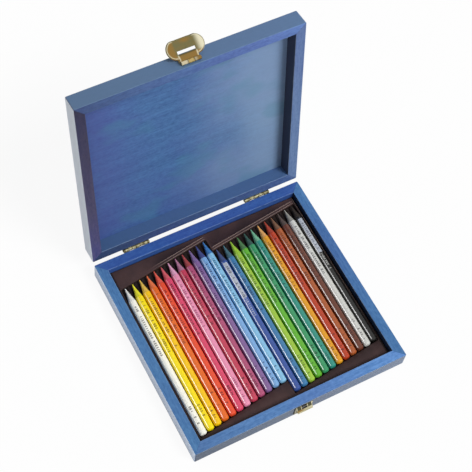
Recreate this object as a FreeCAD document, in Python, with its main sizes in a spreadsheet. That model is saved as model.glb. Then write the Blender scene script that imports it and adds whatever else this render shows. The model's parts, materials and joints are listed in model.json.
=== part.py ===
# A hinged wooden pencil case, standing open, with its tray and 24 round pencils.
# Millimetres. X is to the right, Y to the back, Z up, and the origin is the middle of the base's underside.
# The lid, its leaves and the clasp are drawn closed, then turned open about the hinge pins.

import FreeCAD
import Part
import os
import Sketcher

SIZES = (
    # the wooden case
    ("base_height", 17.2),
    ("lid_height", 16.8),
    ("wall", 9.7),
    ("panel_thickness", 3.5),
    ("rebate_depth", 4.6),
    ("panel_fit", 0.1),
    ("seam_gap", 0.3),
    ("corner_round", 1.4),
    ("outer_round", 0.8),
    ("rim_round", 0.4),
    ("rim_chamfer", 0.3),
    ("lid_open_angle", 99.4),
    # the two stop hinges
    ("hinge_inset", 43.6),
    ("hinge_length", 26.0),
    ("hinge_offset", 2.0),
    ("leaf_height", 9.6),
    ("leaf_sheet", 0.8),
    ("barrel_radius", 1.6),
    ("hinge_pin_radius", 0.75),
    ("pin_fit", 0.05),
    ("pin_head_radius", 1.1),
    ("pin_head_height", 0.4),
    ("knuckle_gap", 0.15),
    ("heel_reach", 1.3),
    ("heel_sheet", 0.8),
    ("heel_root", 0.5),
    ("stop_gap", 0.02),
    ("screw_spacing", 15.0),
    ("screw_drop", 6.6),
    ("screw_head_radius", 1.5),
    ("screw_head_depth", 0.75),
    ("screw_radius", 0.75),
    ("screw_length", 7.0),
    ("slot_width", 0.4),
    ("slot_depth", 0.3),
    ("screw_fit", 0.03),
    # the clasp on the lid
    ("clasp_width", 18.0),
    ("clasp_sheet", 0.8),
    ("clasp_pivot_out", 2.1),
    ("clasp_pivot_up", 3.7),
    ("clasp_barrel_radius", 1.85),
    ("clasp_pin_radius", 1.0),
    ("clasp_gap", 0.15),
    ("clasp_tongue_width", 5.4),
    ("clasp_plate_top", 13.6),
    ("lever_open_angle", 145.0),
    ("lobe_radius", 8.7),
    ("lobe_spread", 17.2),
    ("lobe_drop", 12.2),
    ("bill_drop", 20.6),
    ("flare_start", 14.5),
    ("flare_radius", 16.0),
    ("lip_width", 0.9),
    ("lip_height", 0.7),
    ("window_width", 16.5),
    ("window_drop", 7.6),
    ("window_height", 3.1),
    # the catch on the base
    ("catch_sheet", 0.7),
    ("catch_top", 1.4),
    ("catch_bottom", 14.5),
    ("hook_width", 15.2),
    ("hook_bend_out", 2.95),
    ("hook_bend_drop", 3.9),
    ("hook_tip_out", 4.5),
    ("hook_tip_drop", 6.05),
    ("recess_width", 5.6),
    ("recess_start", 1.0),
    ("recess_end", 2.35),
    # round-headed nails of the clasp and the catch
    ("nail_spacing", 11.0),
    ("clasp_nail_up", 10.2),
    ("catch_nail_drop", 12.0),
    ("nail_head_radius", 1.3),
    ("nail_crown_radius", 0.7),
    ("nail_head_height", 0.4),
    ("nail_radius", 0.6),
    ("nail_length", 6.0),
    # the pencils
    ("pencil_length", 157.0),
    ("pencil_radius", 3.55),
    ("pencil_pitch", 7.85),
    ("cone_length", 15.0),
    ("tip_radius", 0.45),
    ("dipped_end", 1.2),
    ("left_stagger", 1.15),
    ("right_stagger", 1.03),
    ("right_shift", 0.2),
    # the thermoformed tray
    ("tray_fit", 0.6),
    ("tray_sheet", 0.8),
    ("deck_drop", 6.2),
    ("well_depth", 3.85),
    ("well_side_gap", 0.4),
    ("well_rear_gap", 4.2),
    ("well_front_gap", 1.0),
    ("deck_side", 2.475),
    ("deck_front", 3.37),
    ("deck_rear", 2.53),
    ("ridge_height", 1.6),
    ("ridge_top", 1.0),
    ("ridge_base", 4.6),
    ("bead_width", 2.6),
    ("bead_height", 0.9),
    ("bead_round", 0.8),
    # how far a cutting shape runs past what it cuts
    ("overrun", 1.0),
)
PENCIL_COUNT = 24
GROUP_COUNT = 12
KNUCKLE_COUNT = 5

# the places that several pieces share, as formulas of the sheet
# the case is as wide and as deep as its pencils, their wells, the deck round them and its own walls
WELL_HALF = f"({(PENCIL_COUNT - 1) / 2} * sizes.pencil_pitch + sizes.pencil_radius + sizes.well_side_gap)"
WELL_SLOPE = f"(sizes.left_stagger * {WELL_HALF} / sizes.pencil_pitch)"
WELL_LENGTH = f"(sizes.well_front_gap + sizes.pencil_length + sizes.well_rear_gap + {WELL_SLOPE})"
TRAY_WIDTH = f"(2 * {WELL_HALF} + 2 * sizes.deck_side)"
TRAY_DEPTH = f"(sizes.deck_front + {WELL_LENGTH} + sizes.deck_rear)"
INNER_WIDTH = f"({TRAY_WIDTH} + 2 * sizes.tray_fit)"
INNER_DEPTH = f"({TRAY_DEPTH} + 2 * sizes.tray_fit)"
CASE_WIDTH = f"({INNER_WIDTH} + 2 * sizes.wall)"
CASE_DEPTH = f"({INNER_DEPTH} + 2 * sizes.wall)"
HALF_WIDTH = f"({CASE_WIDTH} / 2)"
HALF_DEPTH = f"({CASE_DEPTH} / 2)"
LID_RIM = "(sizes.base_height + sizes.seam_gap)"
LID_TOP = "(sizes.base_height + sizes.seam_gap + sizes.lid_height)"
HINGE_Y = f"({HALF_DEPTH} + sizes.hinge_offset)"
HINGE_Z = "(sizes.base_height + sizes.seam_gap / 2)"
CLASP_Y = f"(-{HALF_DEPTH} - sizes.clasp_pivot_out)"
CLASP_Z = "(sizes.base_height + sizes.seam_gap + sizes.clasp_pivot_up)"
SHEET_IN = "(sizes.clasp_barrel_radius - sizes.clasp_sheet)"
DECK_Z = "(sizes.base_height - sizes.deck_drop)"
FLOOR_Z = "(sizes.base_height - sizes.deck_drop - sizes.well_depth)"
FRONT_FACE = f"(-{HALF_DEPTH})"
NO_TURN = "rotation(vector(1; 0; 0); 0)"
LID_TURN = (
    f"placement(vector(0; 0; 0); rotation(vector(1; 0; 0); -sizes.lid_open_angle); "
    f"vector(0; {HINGE_Y}; {HINGE_Z}))"
)
LEVER_TURN = (
    f"placement(vector(0; 0; 0); rotation(vector(1; 0; 0); -sizes.lever_open_angle); "
    f"vector(0; {CLASP_Y}; {CLASP_Z}))"
)

doc = FreeCAD.newDocument("PencilCase")
sheet = doc.addObject("Spreadsheet::Sheet", "sizes")
for row, (alias, value) in enumerate(SIZES, start=1):
    sheet.set(f"A{row}", alias)
    sheet.set(f"B{row}", str(value))
    sheet.setAlias(f"B{row}", alias)
doc.recompute()

pieces = {}


# Small helpers


def at(x, y, z, turn=NO_TURN):
    return f"placement(vector({x}; {y}; {z}); {turn})"


def bind(item, **formulas):
    for name, formula in formulas.items():
        item.setExpression(name, formula)
    return item


def keep(label, item):
    item.Label = label
    pieces[label] = item
    return item


def box(name, low, size, before=""):
    """A box from its low corner, all in formulas; before is a placement that it is drawn in."""
    item = doc.addObject("Part::Box", name)
    return bind(item, Length=size[0], Width=size[1], Height=size[2], Placement=before + at(*low))


TURNS = {
    "x": "rotation(vector(0; 1; 0); 90)",
    "y": "rotation(vector(1; 0; 0); -90)",
    "z": NO_TURN,
}


def rod(name, start, axis, radius, length):
    item = doc.addObject("Part::Cylinder", name)
    return bind(item, Radius=radius, Height=length, Placement=at(*start, TURNS[axis]))


def cone(name, start, axis, radius, end_radius, length):
    item = doc.addObject("Part::Cone", name)
    return bind(item, Radius1=radius, Radius2=end_radius, Height=length, Placement=at(*start, TURNS[axis]))


def fuse(name, items):
    item = doc.addObject("Part::MultiFuse", name)
    item.Shapes = items
    return item


def cut(name, base, tool):
    item = doc.addObject("Part::Cut", name)
    item.Base = base
    item.Tool = tool
    return item


def common(name, base, tool):
    item = doc.addObject("Part::Common", name)
    item.Base = base
    item.Tool = tool
    return item


def group(name, items):
    item = doc.addObject("Part::Compound", name)
    item.Links = items
    return item


def plane_of(body, role):
    return next(item for item in body.Origin.OriginFeatures if item.Role == role)


def outline(body, name, role, points, height="0"):
    """A closed sketch through points given as formulas, on a plane moved along its normal by height."""
    sketch = body.newObject("Sketcher::SketchObject", name)
    sketch.AttachmentSupport = [(plane_of(body, role), "")]
    sketch.MapMode = "FlatFace"
    sketch.setExpression("AttachmentOffset.Base.z", height)
    places = [FreeCAD.Vector(sheet.evalExpression(x), sheet.evalExpression(y), 0) for x, y in points]
    for start, end in zip(places, places[1:] + places[:1]):
        sketch.addGeometry(Part.LineSegment(start, end))
    for number, ((x, y), place) in enumerate(zip(points, places)):
        following = (number + 1) % len(points)
        sketch.addConstraint(Sketcher.Constraint("Coincident", number, 2, following, 1))
        for kind, formula, distance in (("DistanceX", x, place.x), ("DistanceY", y, place.y)):
            constraint = sketch.addConstraint(Sketcher.Constraint(kind, number, 1, distance))
            sketch.setExpression(f"Constraints[{constraint}]", formula)
    return sketch


def rectangle(width, depth):
    return [
        (f"-({width}) / 2", f"-({depth}) / 2"),
        (f"({width}) / 2", f"-({depth}) / 2"),
        (f"({width}) / 2", f"({depth}) / 2"),
        (f"-({width}) / 2", f"({depth}) / 2"),
    ]


def pad(body, name, sketch, length, midplane=False):
    feature = body.newObject("PartDesign::Pad", name)
    feature.Profile = sketch
    feature.Midplane = midplane
    return bind(feature, Length=length)


def pocket(body, name, sketch, length, upwards=False):
    feature = body.newObject("PartDesign::Pocket", name)
    feature.Profile = sketch
    feature.Reversed = upwards
    return bind(feature, Length=length)


def dress(body, kind, name, edges_wanted, property_name, formula):
    """A fillet or chamfer on those edges of the body's last feature that edges_wanted picks."""
    doc.recompute()
    last = body.Tip
    names = [f"Edge{n}" for n, edge in enumerate(last.Shape.Edges, start=1) if edges_wanted(edge)]
    feature = body.newObject(f"PartDesign::{kind}", name)
    feature.Base = (last, names)
    return bind(feature, **{property_name: formula})


def near(value, target):
    return abs(value - target) < sheet.panel_fit / 2


def number(formula):
    return float(sheet.evalExpression(formula))


# The mitred case frames: one ring for the base and one for the lid, each cut into four rails


def case_ring(name, low, height, rim_up):
    body = doc.addObject("PartDesign::Body", name)
    outer = outline(body, f"{name}_outer", "XY_Plane", rectangle(CASE_WIDTH, CASE_DEPTH), low)
    pad(body, f"{name}_pad", outer, height)
    inner = outline(body, f"{name}_inner", "XY_Plane", rectangle(INNER_WIDTH, INNER_DEPTH), low)
    pocket(body, f"{name}_cavity", inner, height, upwards=True)
    rebate = outline(
        body,
        f"{name}_rebate",
        "XY_Plane",
        rectangle(f"{INNER_WIDTH} + 2 * sizes.rebate_depth", f"{INNER_DEPTH} + 2 * sizes.rebate_depth"),
        low if rim_up else f"{low} + {height}",
    )
    pocket(body, f"{name}_rebate_cut", rebate, "sizes.panel_thickness", upwards=rim_up)

    bottom = number(low)
    top = bottom + number(height)
    rim = top if rim_up else bottom
    outside = bottom if rim_up else top
    half_width = number(HALF_WIDTH)
    half_depth = number(HALF_DEPTH)

    def upright_corner(edge):
        box_of = edge.BoundBox
        middle = edge.CenterOfMass
        upright = near(box_of.XLength, 0) and near(box_of.YLength, 0)
        return upright and near(abs(middle.x), half_width) and near(abs(middle.y), half_depth)

    def outermost(edge, level):
        box_of = edge.BoundBox
        flat = near(box_of.ZMin, level) and near(box_of.ZMax, level)
        beyond_x = max(abs(box_of.XMin), abs(box_of.XMax)) > half_width - 2 * sheet.corner_round
        beyond_y = max(abs(box_of.YMin), abs(box_of.YMax)) > half_depth - 2 * sheet.corner_round
        return flat and (beyond_x or beyond_y)

    def rim_inner(edge):
        box_of = edge.BoundBox
        middle = edge.CenterOfMass
        flat = near(box_of.ZMin, rim) and near(box_of.ZMax, rim)
        inside = abs(middle.x) < half_width - sheet.wall / 2 and abs(middle.y) < half_depth - sheet.wall / 2
        return flat and inside

    def on_outside(edge):
        return outermost(edge, outside)

    def on_rim(edge):
        return outermost(edge, rim)

    dress(body, "Fillet", f"{name}_corners", upright_corner, "Radius", "sizes.corner_round")
    dress(body, "Fillet", f"{name}_outside", on_outside, "Radius", "sizes.outer_round")
    dress(body, "Fillet", f"{name}_rim", on_rim, "Radius", "sizes.rim_round")
    dress(body, "Chamfer", f"{name}_inside", rim_inner, "Size", "sizes.rim_chamfer")
    return body


SIDES = (
    ("front", "0", FRONT_FACE, 0, CASE_WIDTH),
    ("right", HALF_WIDTH, "0", 90, CASE_DEPTH),
    ("back", "0", HALF_DEPTH, 180, CASE_WIDTH),
    ("left", f"-{HALF_WIDTH}", "0", -90, CASE_DEPTH),
)


def rails(prefix, ring, low, height, holes, turn):
    """The four rails of one ring; holes gives each rail's fastener holes, turn its last placement."""
    for side, x, y, angle, length in SIDES:
        wedge = doc.addObject("Part::Wedge", f"{prefix}_{side}_mitre")
        bind(
            wedge,
            Xmin=f"-{length} / 2",
            Xmax=f"{length} / 2",
            X2min=f"-{length} / 2 + sizes.wall",
            X2max=f"{length} / 2 - sizes.wall",
            Ymin="0",
            Ymax="sizes.wall",
            Zmin="0",
            Z2min="0",
            Zmax=height,
            Z2max=height,
            Placement=at(x, y, low, f"rotation(vector(0; 0; 1); {angle})"),
        )
        rail = common(f"{prefix}_{side}_blank", ring, wedge)
        if side in holes:
            rail = cut(f"{prefix}_{side}_drilled", rail, group(f"{prefix}_{side}_holes", holes[side]))
        if turn:
            bind(rail, Placement=turn)
        keep(f"{prefix}_{side}_rail", rail)


def panel(label, low, turn):
    """The board that closes a ring, let into its rebate."""
    width = f"{INNER_WIDTH} + 2 * sizes.rebate_depth - 2 * sizes.panel_fit"
    depth = f"{INNER_DEPTH} + 2 * sizes.rebate_depth - 2 * sizes.panel_fit"
    board = box(
        f"{label}_board",
        (f"-({width}) / 2", f"-({depth}) / 2", low),
        (width, depth, "sizes.panel_thickness"),
        before=f"{turn} * " if turn else "",
    )
    keep(label, board)


# Stop hinges on the back faces: each leaf is a flat plate, its knuckles and a heel that stops the lid

HINGES = (("left", f"(sizes.hinge_inset - {HALF_WIDTH})"), ("right", f"({HALF_WIDTH} - sizes.hinge_inset)"))
KNUCKLE = f"(sizes.hinge_length / {KNUCKLE_COUNT})"


def hinge_leaf(name, middle, up):
    """One leaf, drawn closed. up is 1 on the lid and -1 on the base, whose leaf has the outer knuckles."""
    own = [n for n in range(KNUCKLE_COUNT) if (n % 2 == 0) == (up < 0)]
    others = [n for n in range(KNUCKLE_COUNT) if n not in own]
    start = f"{middle} - sizes.hinge_length / 2"
    plate_low = HINGE_Z if up > 0 else f"{HINGE_Z} - sizes.leaf_height"
    plate_size = ("sizes.hinge_length", "sizes.leaf_sheet", "sizes.leaf_height")
    solids = [box(f"{name}_plate", (start, HALF_DEPTH, plate_low), plate_size)]
    for n in own:
        trim_start = "0" if n == 0 else "sizes.knuckle_gap / 2"
        trim_end = "0" if n == KNUCKLE_COUNT - 1 else "sizes.knuckle_gap / 2"
        place = (f"{start} + {n} * {KNUCKLE} + {trim_start}", HINGE_Y, HINGE_Z)
        length = f"{KNUCKLE} - {trim_start} - {trim_end}"
        solids.append(rod(f"{name}_knuckle_{n}", place, "x", "sizes.barrel_radius", length))
    heel_turn = f"rotation(vector(1; 0; 0); {up} * sizes.lid_open_angle / 2)"
    heel = box(
        f"{name}_heel",
        (
            "0",
            "sizes.barrel_radius - sizes.heel_root",
            "sizes.stop_gap / 2" if up > 0 else "-sizes.heel_sheet - sizes.stop_gap / 2",
        ),
        ("sizes.hinge_length", "sizes.heel_root + sizes.heel_reach", "sizes.heel_sheet"),
        before=at(start, HINGE_Y, HINGE_Z, heel_turn) + " * ",
    )
    solids.append(heel)
    blank = fuse(f"{name}_blank", solids)

    cuts = []
    clearance = "(sizes.barrel_radius + sizes.knuckle_gap)"
    for n in others:
        slot_start = f"{start} + {n} * {KNUCKLE} - sizes.knuckle_gap / 2"
        slot = f"{KNUCKLE} + sizes.knuckle_gap"
        cuts.append(rod(f"{name}_round_{n}", (slot_start, HINGE_Y, HINGE_Z), "x", clearance, slot))
        notch_low = f"{HINGE_Z} - sizes.overrun" if up > 0 else f"{HINGE_Z} - {clearance}"
        cuts.append(
            box(
                f"{name}_notch_{n}",
                (slot_start, f"{HALF_DEPTH} - sizes.overrun", notch_low),
                (slot, "sizes.leaf_sheet + sizes.overrun + sizes.panel_fit", f"{clearance} + sizes.overrun"),
            )
        )
    bore_start = (f"{start} - sizes.overrun", HINGE_Y, HINGE_Z)
    bore_radius = "sizes.hinge_pin_radius + sizes.pin_fit"
    cuts.append(rod(f"{name}_bore", bore_start, "x", bore_radius, "sizes.hinge_length + 2 * sizes.overrun"))
    for place in screw_places(middle, up):
        cuts += screw_shapes(f"{name}_hole_{len(cuts)}", place, "sizes.screw_fit")
    return cut(name, blank, group(f"{name}_cuts", cuts))


def screw_places(middle, up):
    height = f"{HINGE_Z} + {up} * sizes.screw_drop"
    return [(f"{middle} + {side} * sizes.screw_spacing / 2", height) for side in (-1, 1)]


def screw_shapes(name, place, fit):
    """A countersunk screw's head and shank, which point into the back face, grown by fit."""
    x, z = place
    face = f"{HALF_DEPTH} + sizes.leaf_sheet"
    head = cone(
        f"{name}_head",
        (x, f"{face} - sizes.screw_head_depth", z),
        "y",
        f"sizes.screw_radius + {fit}",
        f"sizes.screw_head_radius + {fit}",
        "sizes.screw_head_depth",
    )
    shank = rod(
        f"{name}_shank",
        (x, f"{face} - sizes.screw_length - {fit}", z),
        "y",
        f"sizes.screw_radius + {fit}",
        f"sizes.screw_length - sizes.screw_head_depth + {fit}",
    )
    return [head, shank]


def screw(name, place):
    x, z = place
    slot = box(
        f"{name}_slot",
        (
            f"{x} - sizes.screw_head_radius",
            f"{HALF_DEPTH} + sizes.leaf_sheet - sizes.slot_depth",
            f"{z} - sizes.slot_width / 2",
        ),
        ("2 * sizes.screw_head_radius", "sizes.slot_depth + sizes.overrun", "sizes.slot_width"),
    )
    return cut(name, fuse(f"{name}_whole", screw_shapes(name, place, "0")), slot)


def hinge_pin(name, middle):
    left_end = (f"{middle} - sizes.hinge_length / 2 - sizes.pin_head_height", HINGE_Y, HINGE_Z)
    right_end = (f"{middle} + sizes.hinge_length / 2", HINGE_Y, HINGE_Z)
    shaft_length = "sizes.hinge_length + 2 * sizes.pin_head_height"
    shaft = rod(f"{name}_shaft", left_end, "x", "sizes.hinge_pin_radius", shaft_length)
    left_head = rod(f"{name}_left_head", left_end, "x", "sizes.pin_head_radius", "sizes.pin_head_height")
    right_head = rod(f"{name}_right_head", right_end, "x", "sizes.pin_head_radius", "sizes.pin_head_height")
    keep(name, fuse(f"{name}_solid", [shaft, left_head, right_head]))


# Nails of the clasp and the catch, which point into the front faces


def nail_shank(name, x, z, plate_sheet, fit):
    return rod(
        f"{name}_shank",
        (x, f"{FRONT_FACE} - {plate_sheet}", z),
        "y",
        f"sizes.nail_radius + {fit}",
        f"sizes.nail_length + {fit}",
    )


def nail_holes(name, z, plate_sheet):
    """The holes of one pair of nails, from the plate's front face into the wood."""
    fit = "sizes.screw_fit"
    return [nail_shank(f"{name}_hole_{n}", x, z, plate_sheet, fit) for n, x in enumerate(NAIL_X)]


def nail(name, x, z, plate_sheet):
    shank = nail_shank(name, x, z, plate_sheet, "0")
    head = cone(
        f"{name}_head",
        (x, f"{FRONT_FACE} - {plate_sheet} - sizes.nail_head_height", z),
        "y",
        "sizes.nail_crown_radius",
        "sizes.nail_head_radius",
        "sizes.nail_head_height",
    )
    return fuse(f"{name}_solid", [head, shank])


NAIL_X = ("-sizes.nail_spacing / 2", "sizes.nail_spacing / 2")
CLASP_NAIL_Z = f"{LID_RIM} + sizes.clasp_nail_up"
CATCH_NAIL_Z = "sizes.base_height - sizes.catch_nail_drop"


# The clasp: a plate with one rolled knuckle, a pin, and a slotted lever with two rolled knuckles


def clasp_plate():
    plate_low = f"{CLASP_Z} + sizes.clasp_barrel_radius + sizes.clasp_gap"
    plate = box(
        "clasp_plate_flat",
        ("-sizes.clasp_width / 2", f"{FRONT_FACE} - sizes.clasp_sheet", plate_low),
        ("sizes.clasp_width", "sizes.clasp_sheet", f"{LID_RIM} + sizes.clasp_plate_top - ({plate_low})"),
    )
    tongue = box(
        "clasp_plate_tongue",
        ("-sizes.clasp_tongue_width / 2", f"{FRONT_FACE} - sizes.clasp_sheet", CLASP_Z),
        ("sizes.clasp_tongue_width", "sizes.clasp_sheet", f"{LID_RIM} + sizes.clasp_plate_top - {CLASP_Z}"),
    )
    knuckle = rod(
        "clasp_plate_knuckle",
        ("-sizes.clasp_tongue_width / 2", CLASP_Y, CLASP_Z),
        "x",
        "sizes.clasp_barrel_radius",
        "sizes.clasp_tongue_width",
    )
    blank = fuse("clasp_plate_blank", [plate, tongue, knuckle])
    cuts = [clasp_bore("clasp_plate_bore")]
    cuts += nail_holes("clasp_plate", CLASP_NAIL_Z, "sizes.clasp_sheet")
    plate_done = cut("clasp_plate_solid", blank, group("clasp_plate_cuts", cuts))
    keep("clasp_plate", bind(plate_done, Placement=LID_TURN))


def clasp_bore(name):
    return rod(
        name,
        ("-sizes.clasp_width / 2 - sizes.overrun", CLASP_Y, CLASP_Z),
        "x",
        "sizes.clasp_pin_radius + sizes.pin_fit",
        "sizes.clasp_width + 2 * sizes.overrun",
    )


def bill_outline(name, inset):
    """The lever's outline as a thick block, seen from the front: a neck, two round lobes, a straight end."""
    depth = "(sizes.clasp_barrel_radius + 2 * sizes.flare_radius)"
    back = f"{CLASP_Y} - {depth}"
    through = f"{depth} + sizes.clasp_barrel_radius"
    neck_width = f"(sizes.clasp_width - 2 * {inset})"
    neck = box(
        f"{name}_neck",
        (f"-{neck_width} / 2", back, f"{CLASP_Z} - sizes.lobe_drop"),
        (neck_width, through, "sizes.lobe_drop"),
    )
    end_height = f"(sizes.bill_drop - {inset} - sizes.lobe_drop)"
    end = box(
        f"{name}_end",
        ("-sizes.lobe_spread / 2", back, f"{CLASP_Z} - sizes.bill_drop + {inset}"),
        ("sizes.lobe_spread", through, end_height),
    )
    lobes = [
        rod(
            f"{name}_lobe_{n}",
            (f"{side} * sizes.lobe_spread / 2", back, f"{CLASP_Z} - sizes.lobe_drop"),
            "y",
            f"sizes.lobe_radius - {inset}",
            through,
        )
        for n, side in enumerate((-1, 1))
    ]
    return fuse(name, [neck, end] + lobes)


def bent_sheet(name, inside, sheet_thickness):
    """A sheet that hangs straight down from the pin, then flares away from the case.

    inside is how far its case side lies from the pin's axis."""
    width = "(sizes.lobe_spread + 2 * sizes.lobe_radius)"
    outer_side = f"{CLASP_Y} - {inside} - {sheet_thickness}"
    flat = box(
        f"{name}_flat",
        (f"-{width} / 2", outer_side, f"{CLASP_Z} - sizes.flare_start"),
        (width, sheet_thickness, "sizes.flare_start"),
    )
    centre_y = f"{CLASP_Y} - {SHEET_IN} - sizes.clasp_sheet - sizes.flare_radius"
    centre_z = f"{CLASP_Z} - sizes.flare_start"
    near_radius = f"({outer_side} - ({centre_y}))"
    tube = doc.addObject("Part::Cylinder", f"{name}_tube")
    hollow = doc.addObject("Part::Cylinder", f"{name}_hollow")
    turn = "rotation(vector(0; 1; 0); 90)"
    for item, radius in ((tube, f"{near_radius} + {sheet_thickness}"), (hollow, near_radius)):
        bind(item, Radius=radius, Height=width, Placement=at(f"-{width} / 2", centre_y, centre_z, turn))
    quarter = box(
        f"{name}_quarter",
        ("0", "0", "-2 * sizes.flare_radius"),
        (width, "2 * sizes.flare_radius", "2 * sizes.flare_radius"),
        before=at(f"-{width} / 2", centre_y, centre_z) + " * ",
    )
    return fuse(name, [flat, common(f"{name}_flare", cut(f"{name}_shell", tube, hollow), quarter)])


def clasp_lever():
    whole = bill_outline("lever_outline", "0")
    inner = bill_outline("lever_inset", "sizes.lip_width")
    sheet_part = common("lever_sheet", bent_sheet("lever_bend", SHEET_IN, "sizes.clasp_sheet"), whole)
    lip_inside = f"({SHEET_IN} - sizes.lip_height)"
    lip_layer = common("lever_lip_layer", bent_sheet("lever_lip_bend", lip_inside, "sizes.lip_height"), whole)
    lip = cut("lever_lip", lip_layer, inner)
    knuckle_length = "(sizes.clasp_width - sizes.clasp_tongue_width) / 2 - sizes.clasp_gap"
    knuckle_starts = ("-sizes.clasp_width / 2", "sizes.clasp_tongue_width / 2 + sizes.clasp_gap")
    knuckles = [
        rod(f"lever_knuckle_{n}", (start, CLASP_Y, CLASP_Z), "x", "sizes.clasp_barrel_radius", knuckle_length)
        for n, start in enumerate(knuckle_starts)
    ]
    blank = fuse("lever_blank", [sheet_part, lip] + knuckles)
    window = box(
        "lever_window",
        (
            "-sizes.window_width / 2",
            f"{CLASP_Y} - 2 * sizes.clasp_barrel_radius",
            f"{CLASP_Z} - sizes.window_drop - sizes.window_height",
        ),
        ("sizes.window_width", "2 * sizes.clasp_barrel_radius", "sizes.window_height"),
    )
    notch = rod(
        "lever_notch",
        ("-sizes.clasp_tongue_width / 2 - sizes.clasp_gap", CLASP_Y, CLASP_Z),
        "x",
        "sizes.clasp_barrel_radius + sizes.clasp_gap",
        "sizes.clasp_tongue_width + 2 * sizes.clasp_gap",
    )
    lever = cut("lever_solid", blank, group("lever_cuts", [window, notch, clasp_bore("lever_bore")]))
    keep("clasp_lever", bind(lever, Placement=f"{LID_TURN} * {LEVER_TURN}"))


def clasp_pin():
    start = ("-sizes.clasp_width / 2", CLASP_Y, CLASP_Z)
    pin = rod("clasp_pin_rod", start, "x", "sizes.clasp_pin_radius", "sizes.clasp_width")
    keep("clasp_pin", bind(pin, Placement=f"{LID_TURN} * {at(*start, TURNS['x'])}"))


# The catch: a plate whose top is bent out into two arms and a sloping lip, for the lever's slot


def catch_plate():
    body = doc.addObject("PartDesign::Body", "catch_hook")
    rim = "sizes.base_height"
    slope_out = "(sizes.hook_tip_out - sizes.hook_bend_out)"
    slope_down = "(sizes.hook_tip_drop - sizes.hook_bend_drop)"
    slope = f"sqrt({slope_out} ^ 2 + {slope_down} ^ 2)"
    under_out = f"sizes.catch_sheet * {slope_down} / {slope}"
    under_down = f"sizes.catch_sheet * {slope_out} / {slope}"
    points = [
        ("0", "sizes.catch_bottom"),
        ("0", "sizes.catch_top"),
        ("sizes.catch_sheet", "sizes.catch_top"),
        ("sizes.hook_bend_out", "sizes.hook_bend_drop"),
        ("sizes.hook_tip_out", "sizes.hook_tip_drop"),
        (f"sizes.hook_tip_out - {under_out}", f"sizes.hook_tip_drop + {under_down}"),
        (f"sizes.hook_bend_out - {under_out}", f"sizes.hook_bend_drop + {under_down}"),
        ("sizes.catch_sheet", "sizes.catch_top + sizes.catch_sheet + sizes.catch_sheet / 2"),
        ("sizes.catch_sheet", "sizes.catch_bottom"),
    ]
    profile = [(f"{FRONT_FACE} - ({out})", f"{rim} - ({drop})") for out, drop in points]
    hook_sketch = outline(body, "catch_profile", "YZ_Plane", profile)
    pad(body, "catch_pad", hook_sketch, "sizes.hook_width", midplane=True)
    plate = box(
        "catch_flat",
        ("-sizes.clasp_width / 2", f"{FRONT_FACE} - sizes.catch_sheet", f"{rim} - sizes.catch_bottom"),
        ("sizes.clasp_width", "sizes.catch_sheet", "sizes.catch_bottom - sizes.catch_top"),
    )
    recess = box(
        "catch_recess",
        ("-sizes.recess_width / 2", f"{FRONT_FACE} - sizes.recess_end", f"{rim} - sizes.hook_tip_drop"),
        ("sizes.recess_width", "sizes.recess_end - sizes.recess_start", "sizes.hook_tip_drop"),
    )
    holes = nail_holes("catch_plate", CATCH_NAIL_Z, "sizes.catch_sheet")
    blank = fuse("catch_blank", [plate, body])
    keep("catch_plate", cut("catch_solid", blank, group("catch_cuts", [recess] + holes)))


# The tray: a deck with two staggered wells, grooves between low ridges, beads and a skirt


def pencil_x(n):
    return f"{n - (PENCIL_COUNT - 1) / 2} * sizes.pencil_pitch"


def pencil_front(n):
    """The front end of a pencil: each pencil of a group lies one step further back than the last."""
    slope_beside = "sizes.left_stagger * (sizes.pencil_radius + sizes.well_side_gap) / sizes.pencil_pitch"
    first = f"({TRAY_DEPTH} / 2 - sizes.deck_front - sizes.well_front_gap - {slope_beside})"
    if n < GROUP_COUNT:
        return f"{n} * sizes.left_stagger - {first}"
    return f"{n - GROUP_COUNT} * sizes.right_stagger + sizes.right_shift - {first}"


def edge_line(side, x, where):
    """The front or rear edge of a well at x, which runs along its pencils' ends."""
    first = pencil_x(0 if side == "left" else GROUP_COUNT)
    start = pencil_front(0 if side == "left" else GROUP_COUNT)
    line = f"{start} + ({x} - ({first})) / sizes.pencil_pitch * sizes.{side}_stagger"
    if where == "front":
        return f"{line} - sizes.well_front_gap"
    return f"{line} + sizes.pencil_length + sizes.well_rear_gap"


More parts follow.
